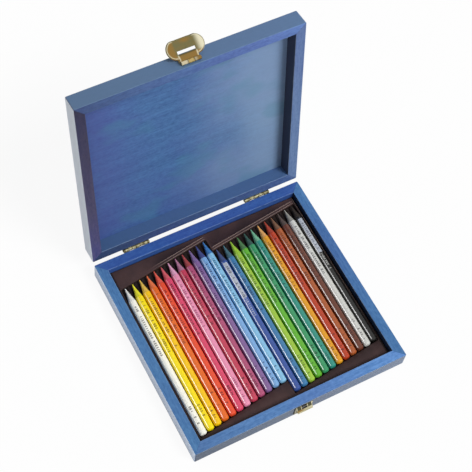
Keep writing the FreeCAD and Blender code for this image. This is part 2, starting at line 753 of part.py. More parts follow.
def pencil_tray():
    body = doc.addObject("PartDesign::Body", "pencil_tray_body")
    bottom = "sizes.panel_thickness"

    block = outline(body, "tray_outer", "XY_Plane", rectangle(TRAY_WIDTH, TRAY_DEPTH), bottom)
    pad(body, "tray_block", block, f"{DECK_Z} - {bottom}")

    wells = [
        (f"-{WELL_HALF}", edge_line("left", f"-{WELL_HALF}", "front")),
        ("0", edge_line("left", "0", "front")),
        ("0", edge_line("right", "0", "front")),
        (WELL_HALF, edge_line("right", WELL_HALF, "front")),
        (WELL_HALF, edge_line("right", WELL_HALF, "rear")),
        ("0", edge_line("right", "0", "rear")),
        ("0", edge_line("left", "0", "rear")),
        (f"-{WELL_HALF}", edge_line("left", f"-{WELL_HALF}", "rear")),
    ]
    pocket(body, "tray_wells", outline(body, "tray_well_edge", "XY_Plane", wells, DECK_Z), "sizes.well_depth")

    first_x = pencil_x(0.5)
    ridge = [
        (f"{first_x} - sizes.ridge_base / 2", FLOOR_Z),
        (f"{first_x} + sizes.ridge_base / 2", FLOOR_Z),
        (f"{first_x} + sizes.ridge_top / 2", f"{FLOOR_Z} + sizes.ridge_height"),
        (f"{first_x} - sizes.ridge_top / 2", f"{FLOOR_Z} + sizes.ridge_height"),
    ]
    ridge_pad = pad(
        body,
        "tray_ridge",
        outline(body, "tray_ridge_section", "XZ_Plane", ridge),
        f"{TRAY_DEPTH} - 2 * sizes.tray_sheet",
        midplane=True,
    )
    doc.recompute()
    ridges = body.newObject("PartDesign::LinearPattern", "tray_ridges")
    ridges.Originals = [ridge_pad]
    ridges.Direction = (plane_of(body, "X_Axis"), [""])
    ridges.Occurrences = PENCIL_COUNT - 1
    bind(ridges, Length=f"{PENCIL_COUNT - 2} * sizes.pencil_pitch")
    body.Tip = ridges

    for side, start, end in (("left", f"-{WELL_HALF}", "0"), ("right", "0", WELL_HALF)):
        near_start = edge_line(side, start, "rear")
        near_end = edge_line(side, end, "rear")
        bead = [
            (start, near_start),
            (end, near_end),
            (end, f"{near_end} + sizes.bead_width"),
            (start, f"{near_start} + sizes.bead_width"),
        ]
        bead_sketch = outline(body, f"tray_{side}_bead_edge", "XY_Plane", bead, DECK_Z)
        pad(body, f"tray_{side}_bead", bead_sketch, "sizes.bead_height")
    top = number(DECK_Z) + sheet.bead_height

    def bead_top(edge):
        level = near(edge.BoundBox.ZMin, top) and near(edge.BoundBox.ZMax, top)
        return level and edge.BoundBox.XLength > sheet.bead_width * 2

    dress(body, "Fillet", "tray_bead_rounding", bead_top, "Radius", "sizes.bead_round")

    inner_half = f"({TRAY_WIDTH} / 2 - sizes.tray_sheet)"
    inner_end = f"({TRAY_DEPTH} / 2 - sizes.tray_sheet)"
    under = rectangle(f"{TRAY_WIDTH} - 2 * sizes.tray_sheet", f"{TRAY_DEPTH} - 2 * sizes.tray_sheet")
    under_sketch = outline(body, "tray_under", "XY_Plane", under, bottom)
    pocket(body, "tray_hollow", under_sketch, f"{FLOOR_Z} - sizes.tray_sheet - {bottom}", upwards=True)
    rear = [
        (f"-{inner_half}", f"{edge_line('left', '-' + inner_half, 'rear')} + sizes.tray_sheet"),
        ("sizes.tray_sheet", f"{edge_line('left', 'sizes.tray_sheet', 'rear')} + sizes.tray_sheet"),
        ("sizes.tray_sheet", f"{edge_line('right', 'sizes.tray_sheet', 'rear')} + sizes.tray_sheet"),
        (inner_half, f"{edge_line('right', inner_half, 'rear')} + sizes.tray_sheet"),
        (inner_half, inner_end),
        (f"-{inner_half}", inner_end),
    ]
    front = [
        (f"-{inner_half}", f"-{inner_end}"),
        (inner_half, f"-{inner_end}"),
        (inner_half, f"{edge_line('right', inner_half, 'front')} - sizes.tray_sheet"),
        ("-sizes.tray_sheet", f"{edge_line('right', '-sizes.tray_sheet', 'front')} - sizes.tray_sheet"),
        ("-sizes.tray_sheet", f"{edge_line('left', '-sizes.tray_sheet', 'front')} - sizes.tray_sheet"),
        (f"-{inner_half}", f"{edge_line('left', '-' + inner_half, 'front')} - sizes.tray_sheet"),
    ]
    under_deck = f"{DECK_Z} - sizes.tray_sheet - {bottom}"
    for name, points in (("rear", rear), ("front", front)):
        sketch = outline(body, f"tray_{name}_under", "XY_Plane", points, bottom)
        pocket(body, f"tray_{name}_hollow", sketch, under_deck, upwards=True)
    keep("pencil_tray", body)


# The pencils: round, with a bevelled dipped end in front and a long cone behind

PENCIL_NAMES = (
    "white", "yellow", "golden_yellow", "orange", "red_orange", "crimson",
    "pink", "carmine", "magenta", "violet", "periwinkle", "sky_blue",
    "ultramarine", "mid_blue", "yellow_green", "green", "sea_green", "teal",
    "ochre", "rust_red", "orange_brown", "dark_brown", "silver_grey", "black",
)


def pencil(n, colour):
    label = f"pencil_{n + 1:02d}_{colour}"
    body = doc.addObject("PartDesign::Body", f"{label}_body")
    shoulder = "sizes.pencil_length - sizes.cone_length"
    profile = [
        ("0", "0"),
        ("sizes.pencil_radius - sizes.dipped_end", "0"),
        ("sizes.pencil_radius", "sizes.dipped_end"),
        ("sizes.pencil_radius", shoulder),
        ("sizes.tip_radius", "sizes.pencil_length"),
        ("0", "sizes.pencil_length"),
    ]
    sketch = outline(body, f"{label}_profile", "XY_Plane", profile)
    turned = body.newObject("PartDesign::Revolution", f"{label}_turned")
    turned.Profile = sketch
    turned.ReferenceAxis = (sketch, ["V_Axis"])

    height = f"{FLOOR_Z} + sizes.pencil_radius"
    keep(label, bind(body, Placement=at(pencil_x(n), pencil_front(n), height)))


# Build everything

hinge_holes = {"base": [], "lid": []}
screws = {"base": [], "lid": []}
for hinge_side, hinge_middle in HINGES:
    for body_name, direction in (("base", -1), ("lid", 1)):
        for place_number, screw_place in enumerate(screw_places(hinge_middle, direction)):
            tag = f"{hinge_side}_{body_name}_{place_number}"
            hinge_holes[body_name] += screw_shapes(f"pilot_{tag}", screw_place, "sizes.screw_fit")
            screws[body_name].append(screw(f"screw_{tag}", screw_place))

catch_pilots = nail_holes("catch_pilot", CATCH_NAIL_Z, "sizes.catch_sheet")
clasp_pilots = nail_holes("clasp_pilot", CLASP_NAIL_Z, "sizes.clasp_sheet")
base_holes = {"back": hinge_holes["base"], "front": catch_pilots}
lid_holes = {"back": hinge_holes["lid"], "front": clasp_pilots}

base_ring = case_ring("base_ring", "0", "sizes.base_height", rim_up=True)
lid_ring = case_ring("lid_ring", LID_RIM, "sizes.lid_height", rim_up=False)
rails("base", base_ring, "0", "sizes.base_height", base_holes, "")
rails("lid", lid_ring, LID_RIM, "sizes.lid_height", lid_holes, LID_TURN)
panel("base_bottom_panel", "0", "")
panel("lid_top_panel", f"{LID_TOP} - sizes.panel_thickness", LID_TURN)

for hinge_side, hinge_middle in HINGES:
    base_leaf = hinge_leaf(f"{hinge_side}_base_leaf", hinge_middle, -1)
    keep(f"{hinge_side}_hinge_base_leaf", base_leaf)
    lid_leaf = hinge_leaf(f"{hinge_side}_lid_leaf", hinge_middle, 1)
    keep(f"{hinge_side}_hinge_lid_leaf", bind(lid_leaf, Placement=LID_TURN))
    hinge_pin(f"{hinge_side}_hinge_pin", hinge_middle)
keep("base_hinge_screws", group("base_screws", screws["base"]))
keep("lid_hinge_screws", bind(group("lid_screws", screws["lid"]), Placement=LID_TURN))

clasp_plate()
clasp_lever()
clasp_pin()
clasp_nails = [nail(f"clasp_nail_{n}", x, CLASP_NAIL_Z, "sizes.clasp_sheet") for n, x in enumerate(NAIL_X)]
keep("clasp_nails", bind(group("clasp_nail_pair", clasp_nails), Placement=LID_TURN))
catch_plate()
catch_nails = [nail(f"catch_nail_{n}", x, CATCH_NAIL_Z, "sizes.catch_sheet") for n, x in enumerate(NAIL_X)]
keep("catch_nails", group("catch_nail_pair", catch_nails))

pencil_tray()
for pencil_number, colour_name in enumerate(PENCIL_NAMES):
    pencil(pencil_number, colour_name)

# Check every object, then write one file for each piece
doc.recompute()
for item in doc.Objects:
    if "Invalid" in item.State or "Error" in item.State:
        raise RuntimeError(f"{item.Label} failed: {item.State}")
os.makedirs("parts", exist_ok=True)
for label, item in pieces.items():
    shape = item.Shape
    if shape.isNull() or not shape.isValid() or not shape.Solids:
        raise RuntimeError(f"{label} has no valid solid")
    shape.exportStep(f"parts/{label}.step")
    print(f"{label}: {len(shape.Solids)} solid(s), {shape.Volume:.1f} cubic mm")
print(f"{len(pieces)} pieces written")
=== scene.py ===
# A blue-stained pencil case that stands open on a pale table, with its tray of 24 lacquered pencils.
import bpy
import bmesh
import json
import math
from mathutils import Matrix, Vector


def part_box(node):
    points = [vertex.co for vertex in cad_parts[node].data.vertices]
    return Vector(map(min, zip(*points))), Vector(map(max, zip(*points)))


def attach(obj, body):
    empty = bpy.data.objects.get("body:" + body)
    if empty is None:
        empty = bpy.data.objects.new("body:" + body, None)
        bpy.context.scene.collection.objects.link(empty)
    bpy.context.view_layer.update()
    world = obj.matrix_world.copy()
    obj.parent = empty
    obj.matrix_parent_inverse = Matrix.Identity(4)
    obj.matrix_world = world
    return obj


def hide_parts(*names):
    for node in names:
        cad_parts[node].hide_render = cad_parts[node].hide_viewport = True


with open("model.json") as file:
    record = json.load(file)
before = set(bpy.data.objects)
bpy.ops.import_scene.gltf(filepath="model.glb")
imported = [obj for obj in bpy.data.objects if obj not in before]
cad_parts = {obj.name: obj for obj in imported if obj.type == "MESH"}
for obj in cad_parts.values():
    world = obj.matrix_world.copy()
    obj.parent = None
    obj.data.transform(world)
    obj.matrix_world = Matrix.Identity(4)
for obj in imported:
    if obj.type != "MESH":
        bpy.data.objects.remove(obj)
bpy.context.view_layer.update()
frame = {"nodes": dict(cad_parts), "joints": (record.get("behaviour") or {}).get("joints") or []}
print("frame loaded:", len(frame["nodes"]), "nodes")

mm = 0.001
scene = bpy.context.scene
joints = {joint["name"]: joint for joint in frame["joints"]}


def nodeSize(name):
    low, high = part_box(name)
    return Vector(low), Vector(high)


# What the pieces share, read from the frame but for the seam and the lid's height
frontLow, frontHigh = nodeSize("base_front_rail")
case = {
    "halfWidth": -nodeSize("base_left_rail")[0].x,
    "halfDepth": -frontLow.y,
    "wall": frontHigh.y - frontLow.y,
    "baseRim": frontHigh.z,
    "hinge": Vector(joints["lid_hinge"]["pos_m"]),
    "openAngle": math.radians(joints["lid_hinge"]["range_deg"][1]),
    "leverPin": Vector(joints["clasp_hinge"]["pos_m"]),
    "leverAngle": math.radians(joints["clasp_hinge"]["range_deg"][1]),
    "seam": 0.3 * mm,
    "lidHeight": 16.8 * mm,
}
case["lidRim"] = case["baseRim"] + case["seam"]
lidTurn = Matrix.Rotation(-case["openAngle"], 3, "X")


def onOpenLid(point):
    # Where a point of the closed lid lies while the lid stands open
    return lidTurn @ (Vector(point) - case["hinge"]) + case["hinge"]


# Helpers that place nodes: what is given to an input is a value or another node's socket


def isSocket(value):
    return isinstance(value, bpy.types.NodeSocket)


def feed(node, values):
    for key, value in values.items():
        socket = node.inputs[key]
        if isSocket(value):
            socket.id_data.links.new(value, socket)
        else:
            socket.default_value = value


def addNode(kind, inputs=None, tree=None, **settings):
    # Adds a node to the tree, or to the one that its linked inputs belong to
    inputs = inputs or {}
    tree = tree or next(filter(isSocket, inputs.values())).id_data
    node = tree.nodes.new(kind)
    for name, value in settings.items():
        setattr(node, name, value)
    feed(node, inputs)
    return node


def maths(operation, first, second=0.0, third=0.0):
    return addNode("ShaderNodeMath", {0: first, 1: second, 2: third}, operation=operation).outputs[0]


def plus(first, second):
    return maths("ADD", first, second)


def minus(first, second):
    return maths("SUBTRACT", first, second)


def near(value, middle, reach):
    return maths("COMPARE", value, middle, reach)


def product(first, *others):
    for other in others:
        first = maths("MULTIPLY", first, other)
    return first


def ramp(value, low, high, newLow=0.0, newHigh=1.0, eased=True):
    kind = "SMOOTHSTEP" if eased else "LINEAR"
    inputs = {"Value": value, "From Min": low, "From Max": high, "To Min": newLow, "To Max": newHigh}
    return addNode("ShaderNodeMapRange", inputs, interpolation_type=kind).outputs["Result"]


def mixColour(factor, first, second, blend="MIX"):
    inputs = {0: factor, 6: first, 7: second}
    return addNode("ShaderNodeMix", inputs, data_type="RGBA", blend_type=blend).outputs[2]


def overlaid(colour, *layers):
    # The colour with each layer's tone laid over it, as far as the layer's mask says
    for mask, tone in layers:
        colour = mixColour(mask, colour, tone)
    return colour


def vectorMaths(operation, first, second):
    return addNode("ShaderNodeVectorMath", {0: first, 1: second}, operation=operation).outputs[0]


def stretched(vector, scales):
    return vectorMaths("MULTIPLY", vector, scales)


def noise(vector, scale, detail=3.0, roughness=0.5):
    # The scale is one value, or a value for each axis
    if isinstance(scale, tuple):
        vector, scale = stretched(vector, scale), 1.0
    inputs = {"Vector": vector, "Scale": scale, "Detail": detail, "Roughness": roughness}
    return addNode("ShaderNodeTexNoise", inputs).outputs["Fac"]


def split(vector):
    return addNode("ShaderNodeSeparateXYZ", {"Vector": vector}).outputs


def combined(x=0.0, y=0.0, z=0.0):
    return addNode("ShaderNodeCombineXYZ", {"X": x, "Y": y, "Z": z}).outputs[0]


def addInputs(tree, inputs):
    # Named inputs of a group, each of the kind that its first value shows
    kinds = {bool: "Bool", int: "Int", float: "Float"}
    for label, start in inputs.items():
        kind = kinds.get(type(start)) or ("Color" if len(start) == 4 else "Vector")
        socket = tree.interface.new_socket(label, in_out="INPUT", socket_type="NodeSocket" + kind)
        socket.default_value = start


def shaderGroup(name, inputs):
    # A shader group with named sockets; gives its inputs and a way to end it
    tree = bpy.data.node_groups.new(name, "ShaderNodeTree")
    addInputs(tree, inputs)

    def finish(results):
        for label in results:
            kind = "NodeSocketColor" if label == "Color" else "NodeSocketFloat"
            tree.interface.new_socket(label, in_out="OUTPUT", socket_type=kind)
        feed(tree.nodes.new("NodeGroupOutput"), results)
        return tree

    return tree.nodes.new("NodeGroupInput").outputs, finish


def placeGroup(group, inputs):
    return addNode("ShaderNodeGroup", inputs, node_tree=group).outputs


def shapeTree(name, inputs):
    # A geometry tree with named inputs; gives the tree, its inputs and a way to end it
    tree = bpy.data.node_groups.new(name, "GeometryNodeTree")
    for way in ("OUTPUT", "INPUT"):
        tree.interface.new_socket("Geometry", in_out=way, socket_type="NodeSocketGeometry")
    addInputs(tree, inputs)
    tree.interface.new_socket("Material", in_out="INPUT", socket_type="NodeSocketMaterial")
    source = tree.nodes.new("NodeGroupInput").outputs
    sink = tree.nodes.new("NodeGroupOutput")

    def finish(geometry):
        whole = addNode("GeometryNodeRealizeInstances", {"Geometry": geometry}).outputs["Geometry"]
        painted = addNode("GeometryNodeSetMaterial", {"Geometry": whole, "Material": source["Material"]})
        feed(sink, {"Geometry": painted.outputs["Geometry"]})
        return tree

    return tree, source, finish


def pointPlace(tree):
    return split(addNode("GeometryNodeInputPosition", tree=tree).outputs[0])


def placed(geometry, places):
    return addNode("GeometryNodeSetPosition", {"Geometry": geometry, "Position": places}).outputs[0]


def moved(geometry, shift):
    return addNode("GeometryNodeTransform", {"Geometry": geometry, "Translation": shift}).outputs[0]


def newMaterial(name):
    # A material and its object coordinates
    material = bpy.data.materials.new(name)
    material.use_nodes = True
    return material, addNode("ShaderNodeTexCoord", tree=material.node_tree).outputs["Object"]


def finishMaterial(material, values, height, strength, depth):
    bump = addNode("ShaderNodeBump", {"Height": height, "Strength": strength, "Distance": depth})
    shader = material.node_tree.nodes["Principled BSDF"]
    feed(shader, values | {"Normal": bump.outputs["Normal"]})
    return material


def meshValue(material, name):
    return addNode("ShaderNodeAttribute", tree=material.node_tree, attribute_name=name).outputs["Fac"]


def rgb(red, green, blue):
    # A colour as the eye names it, 0 to 255, turned into scene values
    def linear(channel):
        share = channel / 255
        return share / 12.92 if share <= 0.04045 else ((share + 0.055) / 1.055) ** 2.4

    return (linear(red), linear(green), linear(blue), 1.0)


# Helpers that make pieces


def addObject(name, data):
    thing = bpy.data.objects.new(name, data)
    scene.collection.objects.link(thing)
    return thing


def paint(mesh, material):
    mesh.materials.clear()
    mesh.materials.append(material)


def dress(name, material):
    paint(frame["nodes"][name].data, material)


def addPiece(name, mesh, body, node, material):
    piece = addObject(name, mesh)
    paint(mesh, material)
    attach(piece, body)
    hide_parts(node)
    return piece


def addPoint(shape, layers, place, tones):
    # A point with the tones that its material reads
    point = shape.verts.new(place)
    for layer, tone in zip(layers, tones):
        point[layer] = tone
    return point


def smoothMesh(shape, name):
    mesh = bpy.data.meshes.new(name)
    shape.to_mesh(mesh)
    shape.free()
    mesh.shade_smooth()
    return mesh


def shadeByAngle(mesh, degrees=35):
    mesh.shade_smooth()
    mesh.set_sharp_from_angle(angle=math.radians(degrees))


def softEdges(piece, width):
    bevel = piece.modifiers.new("softEdges", "BEVEL")
    bevel.width = width
    bevel.segments = 2
    bevel.limit_method = "ANGLE"
    bevel.angle_limit = math.radians(40)
    bevel.harden_normals = True


def thicken(piece, thickness):
    wall = piece.modifiers.new("sheet", "SOLIDIFY")
    wall.thickness = thickness
    wall.offset = -1.0


def mergedCopy(name, node, body, material, edgeWidth):
    # The frame's own shape again, as one skin with smooth curves and softened edges
    mesh = frame["nodes"][node].data.copy()
    mesh.name = name
    shape = bmesh.new()
    shape.from_mesh(mesh)
    bmesh.ops.remove_doubles(shape, verts=shape.verts, dist=0.002 * mm)
    bmesh.ops.dissolve_limit(shape, angle_limit=math.radians(1.5), verts=shape.verts, edges=shape.edges)
    shape.to_mesh(mesh)
    shape.free()
    shadeByAngle(mesh)
    softEdges(addPiece(name, mesh, body, node, material), edgeWidth)


def applyTree(name, mesh, tree, values):
    # Runs a node tree on a mesh and gives the finished plain mesh
    carrier = addObject(name + "Maker", mesh)
    modifier = carrier.modifiers.new("maker", "NODES")
    modifier.node_group = tree
    for item in tree.interface.items_tree:
        if item.item_type == "SOCKET" and item.in_out == "INPUT" and item.name in values:
            modifier[item.identifier] = values[item.name]
    graph = bpy.context.evaluated_depsgraph_get()
    made = bpy.data.meshes.new_from_object(carrier.evaluated_get(graph), depsgraph=graph)
    made.name = name
    bpy.data.objects.remove(carrier)
    return made


# Shared surface groups

grainScales = {
    "warp": (9, 30, 30),
    "fibres": (40, 900, 900),
    "bands": (6, 150, 150),
    "pores": (150, 1500, 1500),
    "mottle": (260, 420, 420),
    "blotch": (11, 17, 17),
}


def makeStainedGrain():
    # Closed-pored wood under a blue stain, with the grain along the vector's x
    scales = grainScales
    stain = {"Deep": rgb(38, 72, 128), "Pale": rgb(92, 140, 196), "Violet": rgb(74, 74, 150)}
    ins, finish = shaderGroup("stainedGrain", {"Vector": (0, 0, 0)} | stain | {"Drift": 0.5})
    vector = ins["Vector"]
    warpInputs = {"Vector": stretched(vector, scales["warp"]), "Scale": 1.0, "Detail": 2.0}
    warp = addNode("ShaderNodeTexNoise", warpInputs).outputs["Color"]
    flowing = vectorMaths("ADD", vector, stretched(warp, (0, 0.003, 0.003)))
    fibres = noise(flowing, scales["fibres"], 4.0, 0.65)
    bands = noise(flowing, scales["bands"], 3.0, 0.55)
    pores = ramp(noise(flowing, scales["pores"], 1.0), 0.60, 0.74)
    mottle = noise(vector, scales["mottle"], 4.0, 0.65)
    blotch = ramp(noise(vector, scales["blotch"]), 0.40, 0.66)
    tone = plus(plus(product(fibres, 0.4), product(bands, 0.2)), product(mottle, 0.4))
    dark = mixColour(1.0, ins["Deep"], (0.45, 0.5, 0.55, 1), "MULTIPLY")
    colour = overlaid(
        mixColour(ramp(tone, 0.34, 0.66), ins["Deep"], ins["Pale"]),
        (product(blotch, ins["Drift"]), ins["Violet"]),
        (product(pores, 0.4), dark),
    )
    height = minus(fibres, product(pores, 0.8))
    return finish({"Color": colour, "Roughness": ramp(fibres, 0.3, 0.7, 0.44, 0.62), "Height": height})


# How far from its edge a rail's mask ends, and where it is full
edgeBands = {"outer": (0.5 * mm, 0.1 * mm), "inner": (0.45 * mm, 0.1 * mm), "mitre": (0.3 * mm, 0.1 * mm)}


def makeEdgeMasks():
    # Masks of a rail: its long edges, lighter by wear and by a painted edge highlight, its outward and inward
    # faces, and the mitre lines at its ends
    starts = {
        "Vector": (0, 0, 0),
        "Across": 0.0,
        "Half Size": case["halfWidth"],
        "Along": 0.0,
        "Half Length": case["halfDepth"],
        "Up": 0.0,
        "Wall": case["wall"],
        "Low": 0.0,
        "High": case["baseRim"],
        "Reach": 0.6 * mm,
    }
    ins, finish = shaderGroup("edgeMasks", starts)
    fromOuter = minus(ins["Half Size"], maths("ABSOLUTE", ins["Across"]))
    fromInner = minus(ins["Wall"], fromOuter)
    fromEnd = minus(ins["Half Length"], maths("ABSOLUTE", ins["Along"]))
    level = maths("MINIMUM", minus(ins["Up"], ins["Low"]), minus(ins["High"], ins["Up"]))
    worst = maths("MAXIMUM", maths("MINIMUM", fromOuter, fromInner), level)
    patches = noise(ins["Vector"], (120, 120, 120), 4.0, 0.6)
    reach = product(ins["Reach"], ramp(patches, 0.3, 0.7, 0.4, 1.5))
    results = {
        "Worn And Lit Edge": ramp(maths("DIVIDE", worst, reach), 1.0, 0.25),
        "Outer Face": ramp(fromOuter, *edgeBands["outer"]),
        "Inner Face": ramp(fromInner, *edgeBands["inner"]),
        "Mitre": ramp(maths("ABSOLUTE", minus(fromOuter, fromEnd)), *edgeBands["mitre"]),
    }
    return finish(results)


def makeFineDust():
    # Specks and cloudy smears for moulded and rolled surfaces
    ins, finish = shaderGroup("fineDust", {"Vector": (0, 0, 0), "Speck Scale": 900.0, "Cloud Scale": 40.0})
    specks = noise(ins["Vector"], ins["Speck Scale"], 2.0, 0.6)
    cloud = noise(ins["Vector"], ins["Cloud Scale"], 4.0, 0.55)
    return finish({"Specks": ramp(specks, 0.52, 0.72), "Cloud": ramp(cloud, 0.35, 0.65)})


stainedGrain = makeStainedGrain()
edgeMasks = makeEdgeMasks()
fineDust = makeFineDust()
print("surface groups made")


def dustOn(vector, scales):
    return placeGroup(fineDust, {"Vector": vector, "Speck Scale": scales[0], "Cloud Scale": scales[1]})


# The stained wooden case

# What every rail has, unless its own row says otherwise; a fade is the light at the rail's two ends
woodLook = {
    "drift": 0.2,
    "wornAndLitEdge": 0.22,
    "wornAndLitEdgeTone": rgb(170, 190, 210),
    "mitre": 0.4,
    "mitreTone": rgb(34, 52, 88),
    "inner": (0, 0, 0),
    "innerCover": 0.0,
    "fade": (1.0, 1.0),
    "outerFade": (1.0, 1.0),
    "sheen": 0.3,
    "bump": 0.35,
    "grainDepth": 0.10 * mm,
    "grainStep": (0.31, 0.023, 0.041),
    "lidGrainStep": 1.7,
}

# Each rail's deep and pale tones, and its outward face's tone with how far that covers it; the outward tones
# are painted reflection and light, the inward tones mostly painted shade
railLook = {
    # base_front's grey outward tone and its fade along the face are painted reflection and light
    "base_front": {
        "deep": (68, 111, 166),
        "pale": (101, 144, 199),
        "outer": (100, 106, 116),
        "cover": 0.85,
        "fade": (0.8, 1.36),
        "outerFade": (0.62, 1.42),
    },
    "base_back": {"deep": (40, 76, 146), "pale": (62, 102, 170), "outer": (60, 90, 140), "cover": 0.3},
    # base_left's pale outward tone is painted light and reflection on a face that lies in shade
    "base_left": {"deep": (60, 105, 156), "pale": (86, 132, 180), "outer": (224, 235, 252), "cover": 0.92},
    # base_right's near-black inward tone is painted shade
    "base_right": {
        "deep": (62, 106, 158),
        "pale": (89, 133, 183),
        "outer": (80, 110, 150),
        "cover": 0.3,
        "inner": (20, 28, 48),
        "innerCover": 0.9,
        "sheen": 0.1,
    },
    "lid_front": {
        "deep": (62, 88, 142),
        "pale": (88, 118, 170),
        "outer": (93, 121, 152),
        "cover": 0.78,
        "wornAndLitEdge": 0.08,
        "fade": (0.55, 1.45),
    },
    # lid_back's inward tone is paler than its stain
    "lid_back": {
        "deep": (48, 68, 106),
        "pale": (68, 91, 130),
        "outer": (50, 76, 120),
        "cover": 0.3,
        "inner": (74, 104, 146),
        "innerCover": 0.75,
        "fade": (0.62, 1.6),
    },
    # lid_left's tones are darker and more violet than the other rails'; its pale outward tone is painted
    # light and reflection, its inward tone painted shade
    "lid_left": {
        "deep": (52, 56, 88),
        "pale": (78, 74, 100),
        "outer": (222, 230, 240),
        "cover": 0.92,
        "inner": (44, 46, 70),
        "innerCover": 0.8,
        "wornAndLitEdge": 0.05,
        "fade": (0.45, 1.35),
    },
    # lid_right's dark inward tone is painted shade
    "lid_right": {
        "deep": (82, 108, 152),
        "pale": (110, 134, 174),
        "outer": (80, 104, 150),
        "cover": 0.3,
        "inner": (55, 60, 76),
        "innerCover": 0.94,
        "sheen": 0.06,
    },
}


def closedVector(coords, onLid):
    # Object coordinates, turned back to the closed lid's own frame where the piece is on the lid
    if not onLid:
        return coords
    shift = case["hinge"] - lidTurn.inverted() @ case["hinge"]
    inputs = {"Vector": coords, "Location": shift, "Rotation": (case["openAngle"], 0, 0)}
    return addNode("ShaderNodeMapping", inputs).outputs["Vector"]


def grainOn(vector, look):
    stain = {"Deep": rgb(*look["deep"]), "Pale": rgb(*look["pale"])}
    return placeGroup(stainedGrain, stain | {"Vector": vector, "Drift": look["drift"]})


def finishWood(material, colour, grain, look):
    values = {"Base Color": colour, "Roughness": grain["Roughness"], "Specular IOR Level": look["sheen"]}
    return finishMaterial(material, values, grain["Height"], look["bump"], woodLook["grainDepth"])


def makeRailMaterial(prefix, side, number):
    look = woodLook | railLook[f"{prefix}_{side}"]
    onLid = prefix == "lid"
    material, coords = newMaterial(f"{prefix}{side.title()}Wood")
    vector = closedVector(coords, onLid)
    axes = split(vector)
    along, across, half, halfAcross = axes["Y"], axes["X"], case["halfDepth"], case["halfWidth"]
    if side in ("front", "back"):
        along, across, half, halfAcross = across, along, halfAcross, half
    shift = [step * number for step in look["grainStep"]]
    shift[0] += look["lidGrainStep"] * onLid
    grain = grainOn(vectorMaths("ADD", combined(along, across, axes["Z"]), shift), look)
    railMaskInputs = {
        "Vector": vector,
        "Across": across,
        "Half Size": halfAcross,
        "Along": along,
        "Half Length": half,
        "Up": axes["Z"],
        "Low": case["lidRim"] if onLid else 0.0,
        "High": case["lidRim"] + case["lidHeight"] if onLid else case["baseRim"],
    }
    railMasks = placeGroup(edgeMasks, railMaskInputs)
    light = ramp(along, -half, half, *look["fade"], eased=False)
    outerLight = ramp(along, -half, half, *look["outerFade"], eased=False)
    colour = overlaid(
        stretched(grain["Color"], light),
        # Outward face: painted reflection and light
        (product(railMasks["Outer Face"], look["cover"]), stretched(rgb(*look["outer"])[:3], outerLight)),
        # Inward face: painted shade on base_right, lid_left and lid_right
        (product(railMasks["Inner Face"], look["innerCover"]), rgb(*look["inner"])),
        # Long edges: lighter by wear and by a painted edge highlight
        (product(railMasks["Worn And Lit Edge"], look["wornAndLitEdge"]), look["wornAndLitEdgeTone"]),
        (product(railMasks["Mitre"], look["mitre"]), look["mitreTone"]),
    )
    return finishWood(material, colour, grain, look)


# The panels' stain, and each patch's tone, its full cover and where it begins and is full: paler towards the
# right side, violet towards the left, green in blots
panelLook = {
    "deep": (58, 91, 140),
    "pale": (79, 121, 171),
    "drift": 0.3,
    "waver": (14.0, 0.1),
    "right": {"tone": rgb(144, 170, 197), "cover": 0.6, "span": (0.03, 0.15)},
    "left": {"tone": rgb(74, 76, 146), "cover": 0.5, "span": (0.02, -0.06)},
    "green": {"tone": rgb(70, 130, 150), "cover": 0.3, "span": (0.54, 0.7)},
    "sheen": 0.25,
    "bump": 0.3,
}


def makePanelMaterial(name, onLid):
    look = panelLook
    material, coords = newMaterial(name)
    vector = closedVector(coords, onLid)
    grain = grainOn(vector, look)
    scale, amount = look["waver"]
    side = plus(split(vector)["X"], product(noise(vector, scale), amount))
    blots = noise(stretched(vector, (1, 1.6, 1)), 21.0, 2.0)
    patches = [(look["right"], side), (look["left"], side), (look["green"], blots)]
    layers = [(ramp(value, *patch["span"], 0.0, patch["cover"]), patch["tone"]) for patch, value in patches]
    return finishWood(material, overlaid(grain["Color"], *layers), grain, look)


for prefix in ("base", "lid"):
    for number, side in enumerate(("front", "back", "left", "right")):
        dress(f"{prefix}_{side}_rail", makeRailMaterial(prefix, side, number))
dress("lid_top_panel", makePanelMaterial("lidPanelWood", True))
dress("base_bottom_panel", makePanelMaterial("basePanelWood", False))
print("wood dressed")


# Brass: hinges, catch, clasp plate and their pins

brassLook = {
    "hinge": {"bright": rgb(214, 208, 166), "dull": rgb(112, 102, 66), "roughness": 0.36},
    "clasp": {"bright": rgb(196, 172, 112), "dull": rgb(140, 116, 64), "roughness": 0.28},
    "catch": {"bright": rgb(182, 172, 128), "dull": rgb(112, 108, 76), "roughness": 0.32},
    "dust": (1400.0, 420.0),
    "grainDepth": 0.02 * mm,
    "softEdge": 0.12 * mm,
}


def makeBrass(kind):
    look = brassLook[kind]
    material, coords = newMaterial(kind + "Brass")
    dust = dustOn(stretched(coords, (1.0, 0.4, 0.4)), brassLook["dust"])
    values = {
        "Base Color": mixColour(dust["Cloud"], look["bright"], look["dull"]),
        "Metallic": 1.0,
        "Roughness": plus(product(dust["Specks"], 0.2), look["roughness"]),
    }
    rolled = noise(coords, (300, 4200, 4200), 3.0, 0.6)
    return finishMaterial(material, values, rolled, 0.2, brassLook["grainDepth"])


catchLook = {
    "wing": (3.2 * mm, 7.3 * mm),
    "slopeOut": 2.7 * mm,
    "tipOut": 3.5 * mm,
    "blur": 0.3 * mm,
    "lineShift": 0.1 * mm,
    "lineHalves": (0.3 * mm, 0.32 * mm),
    "recessGap": 0.4 * mm,
    "leftGap": 0.45 * mm,
    "fold": (2 * mm, -4 * mm),
    "dust": (1400.0, 260.0),
    "block": rgb(84, 82, 62),
    "recess": rgb(38, 30, 24),
    "edge": rgb(220, 212, 176),
    "tan": rgb(160, 128, 72),
    "tip": rgb(206, 198, 158),
}


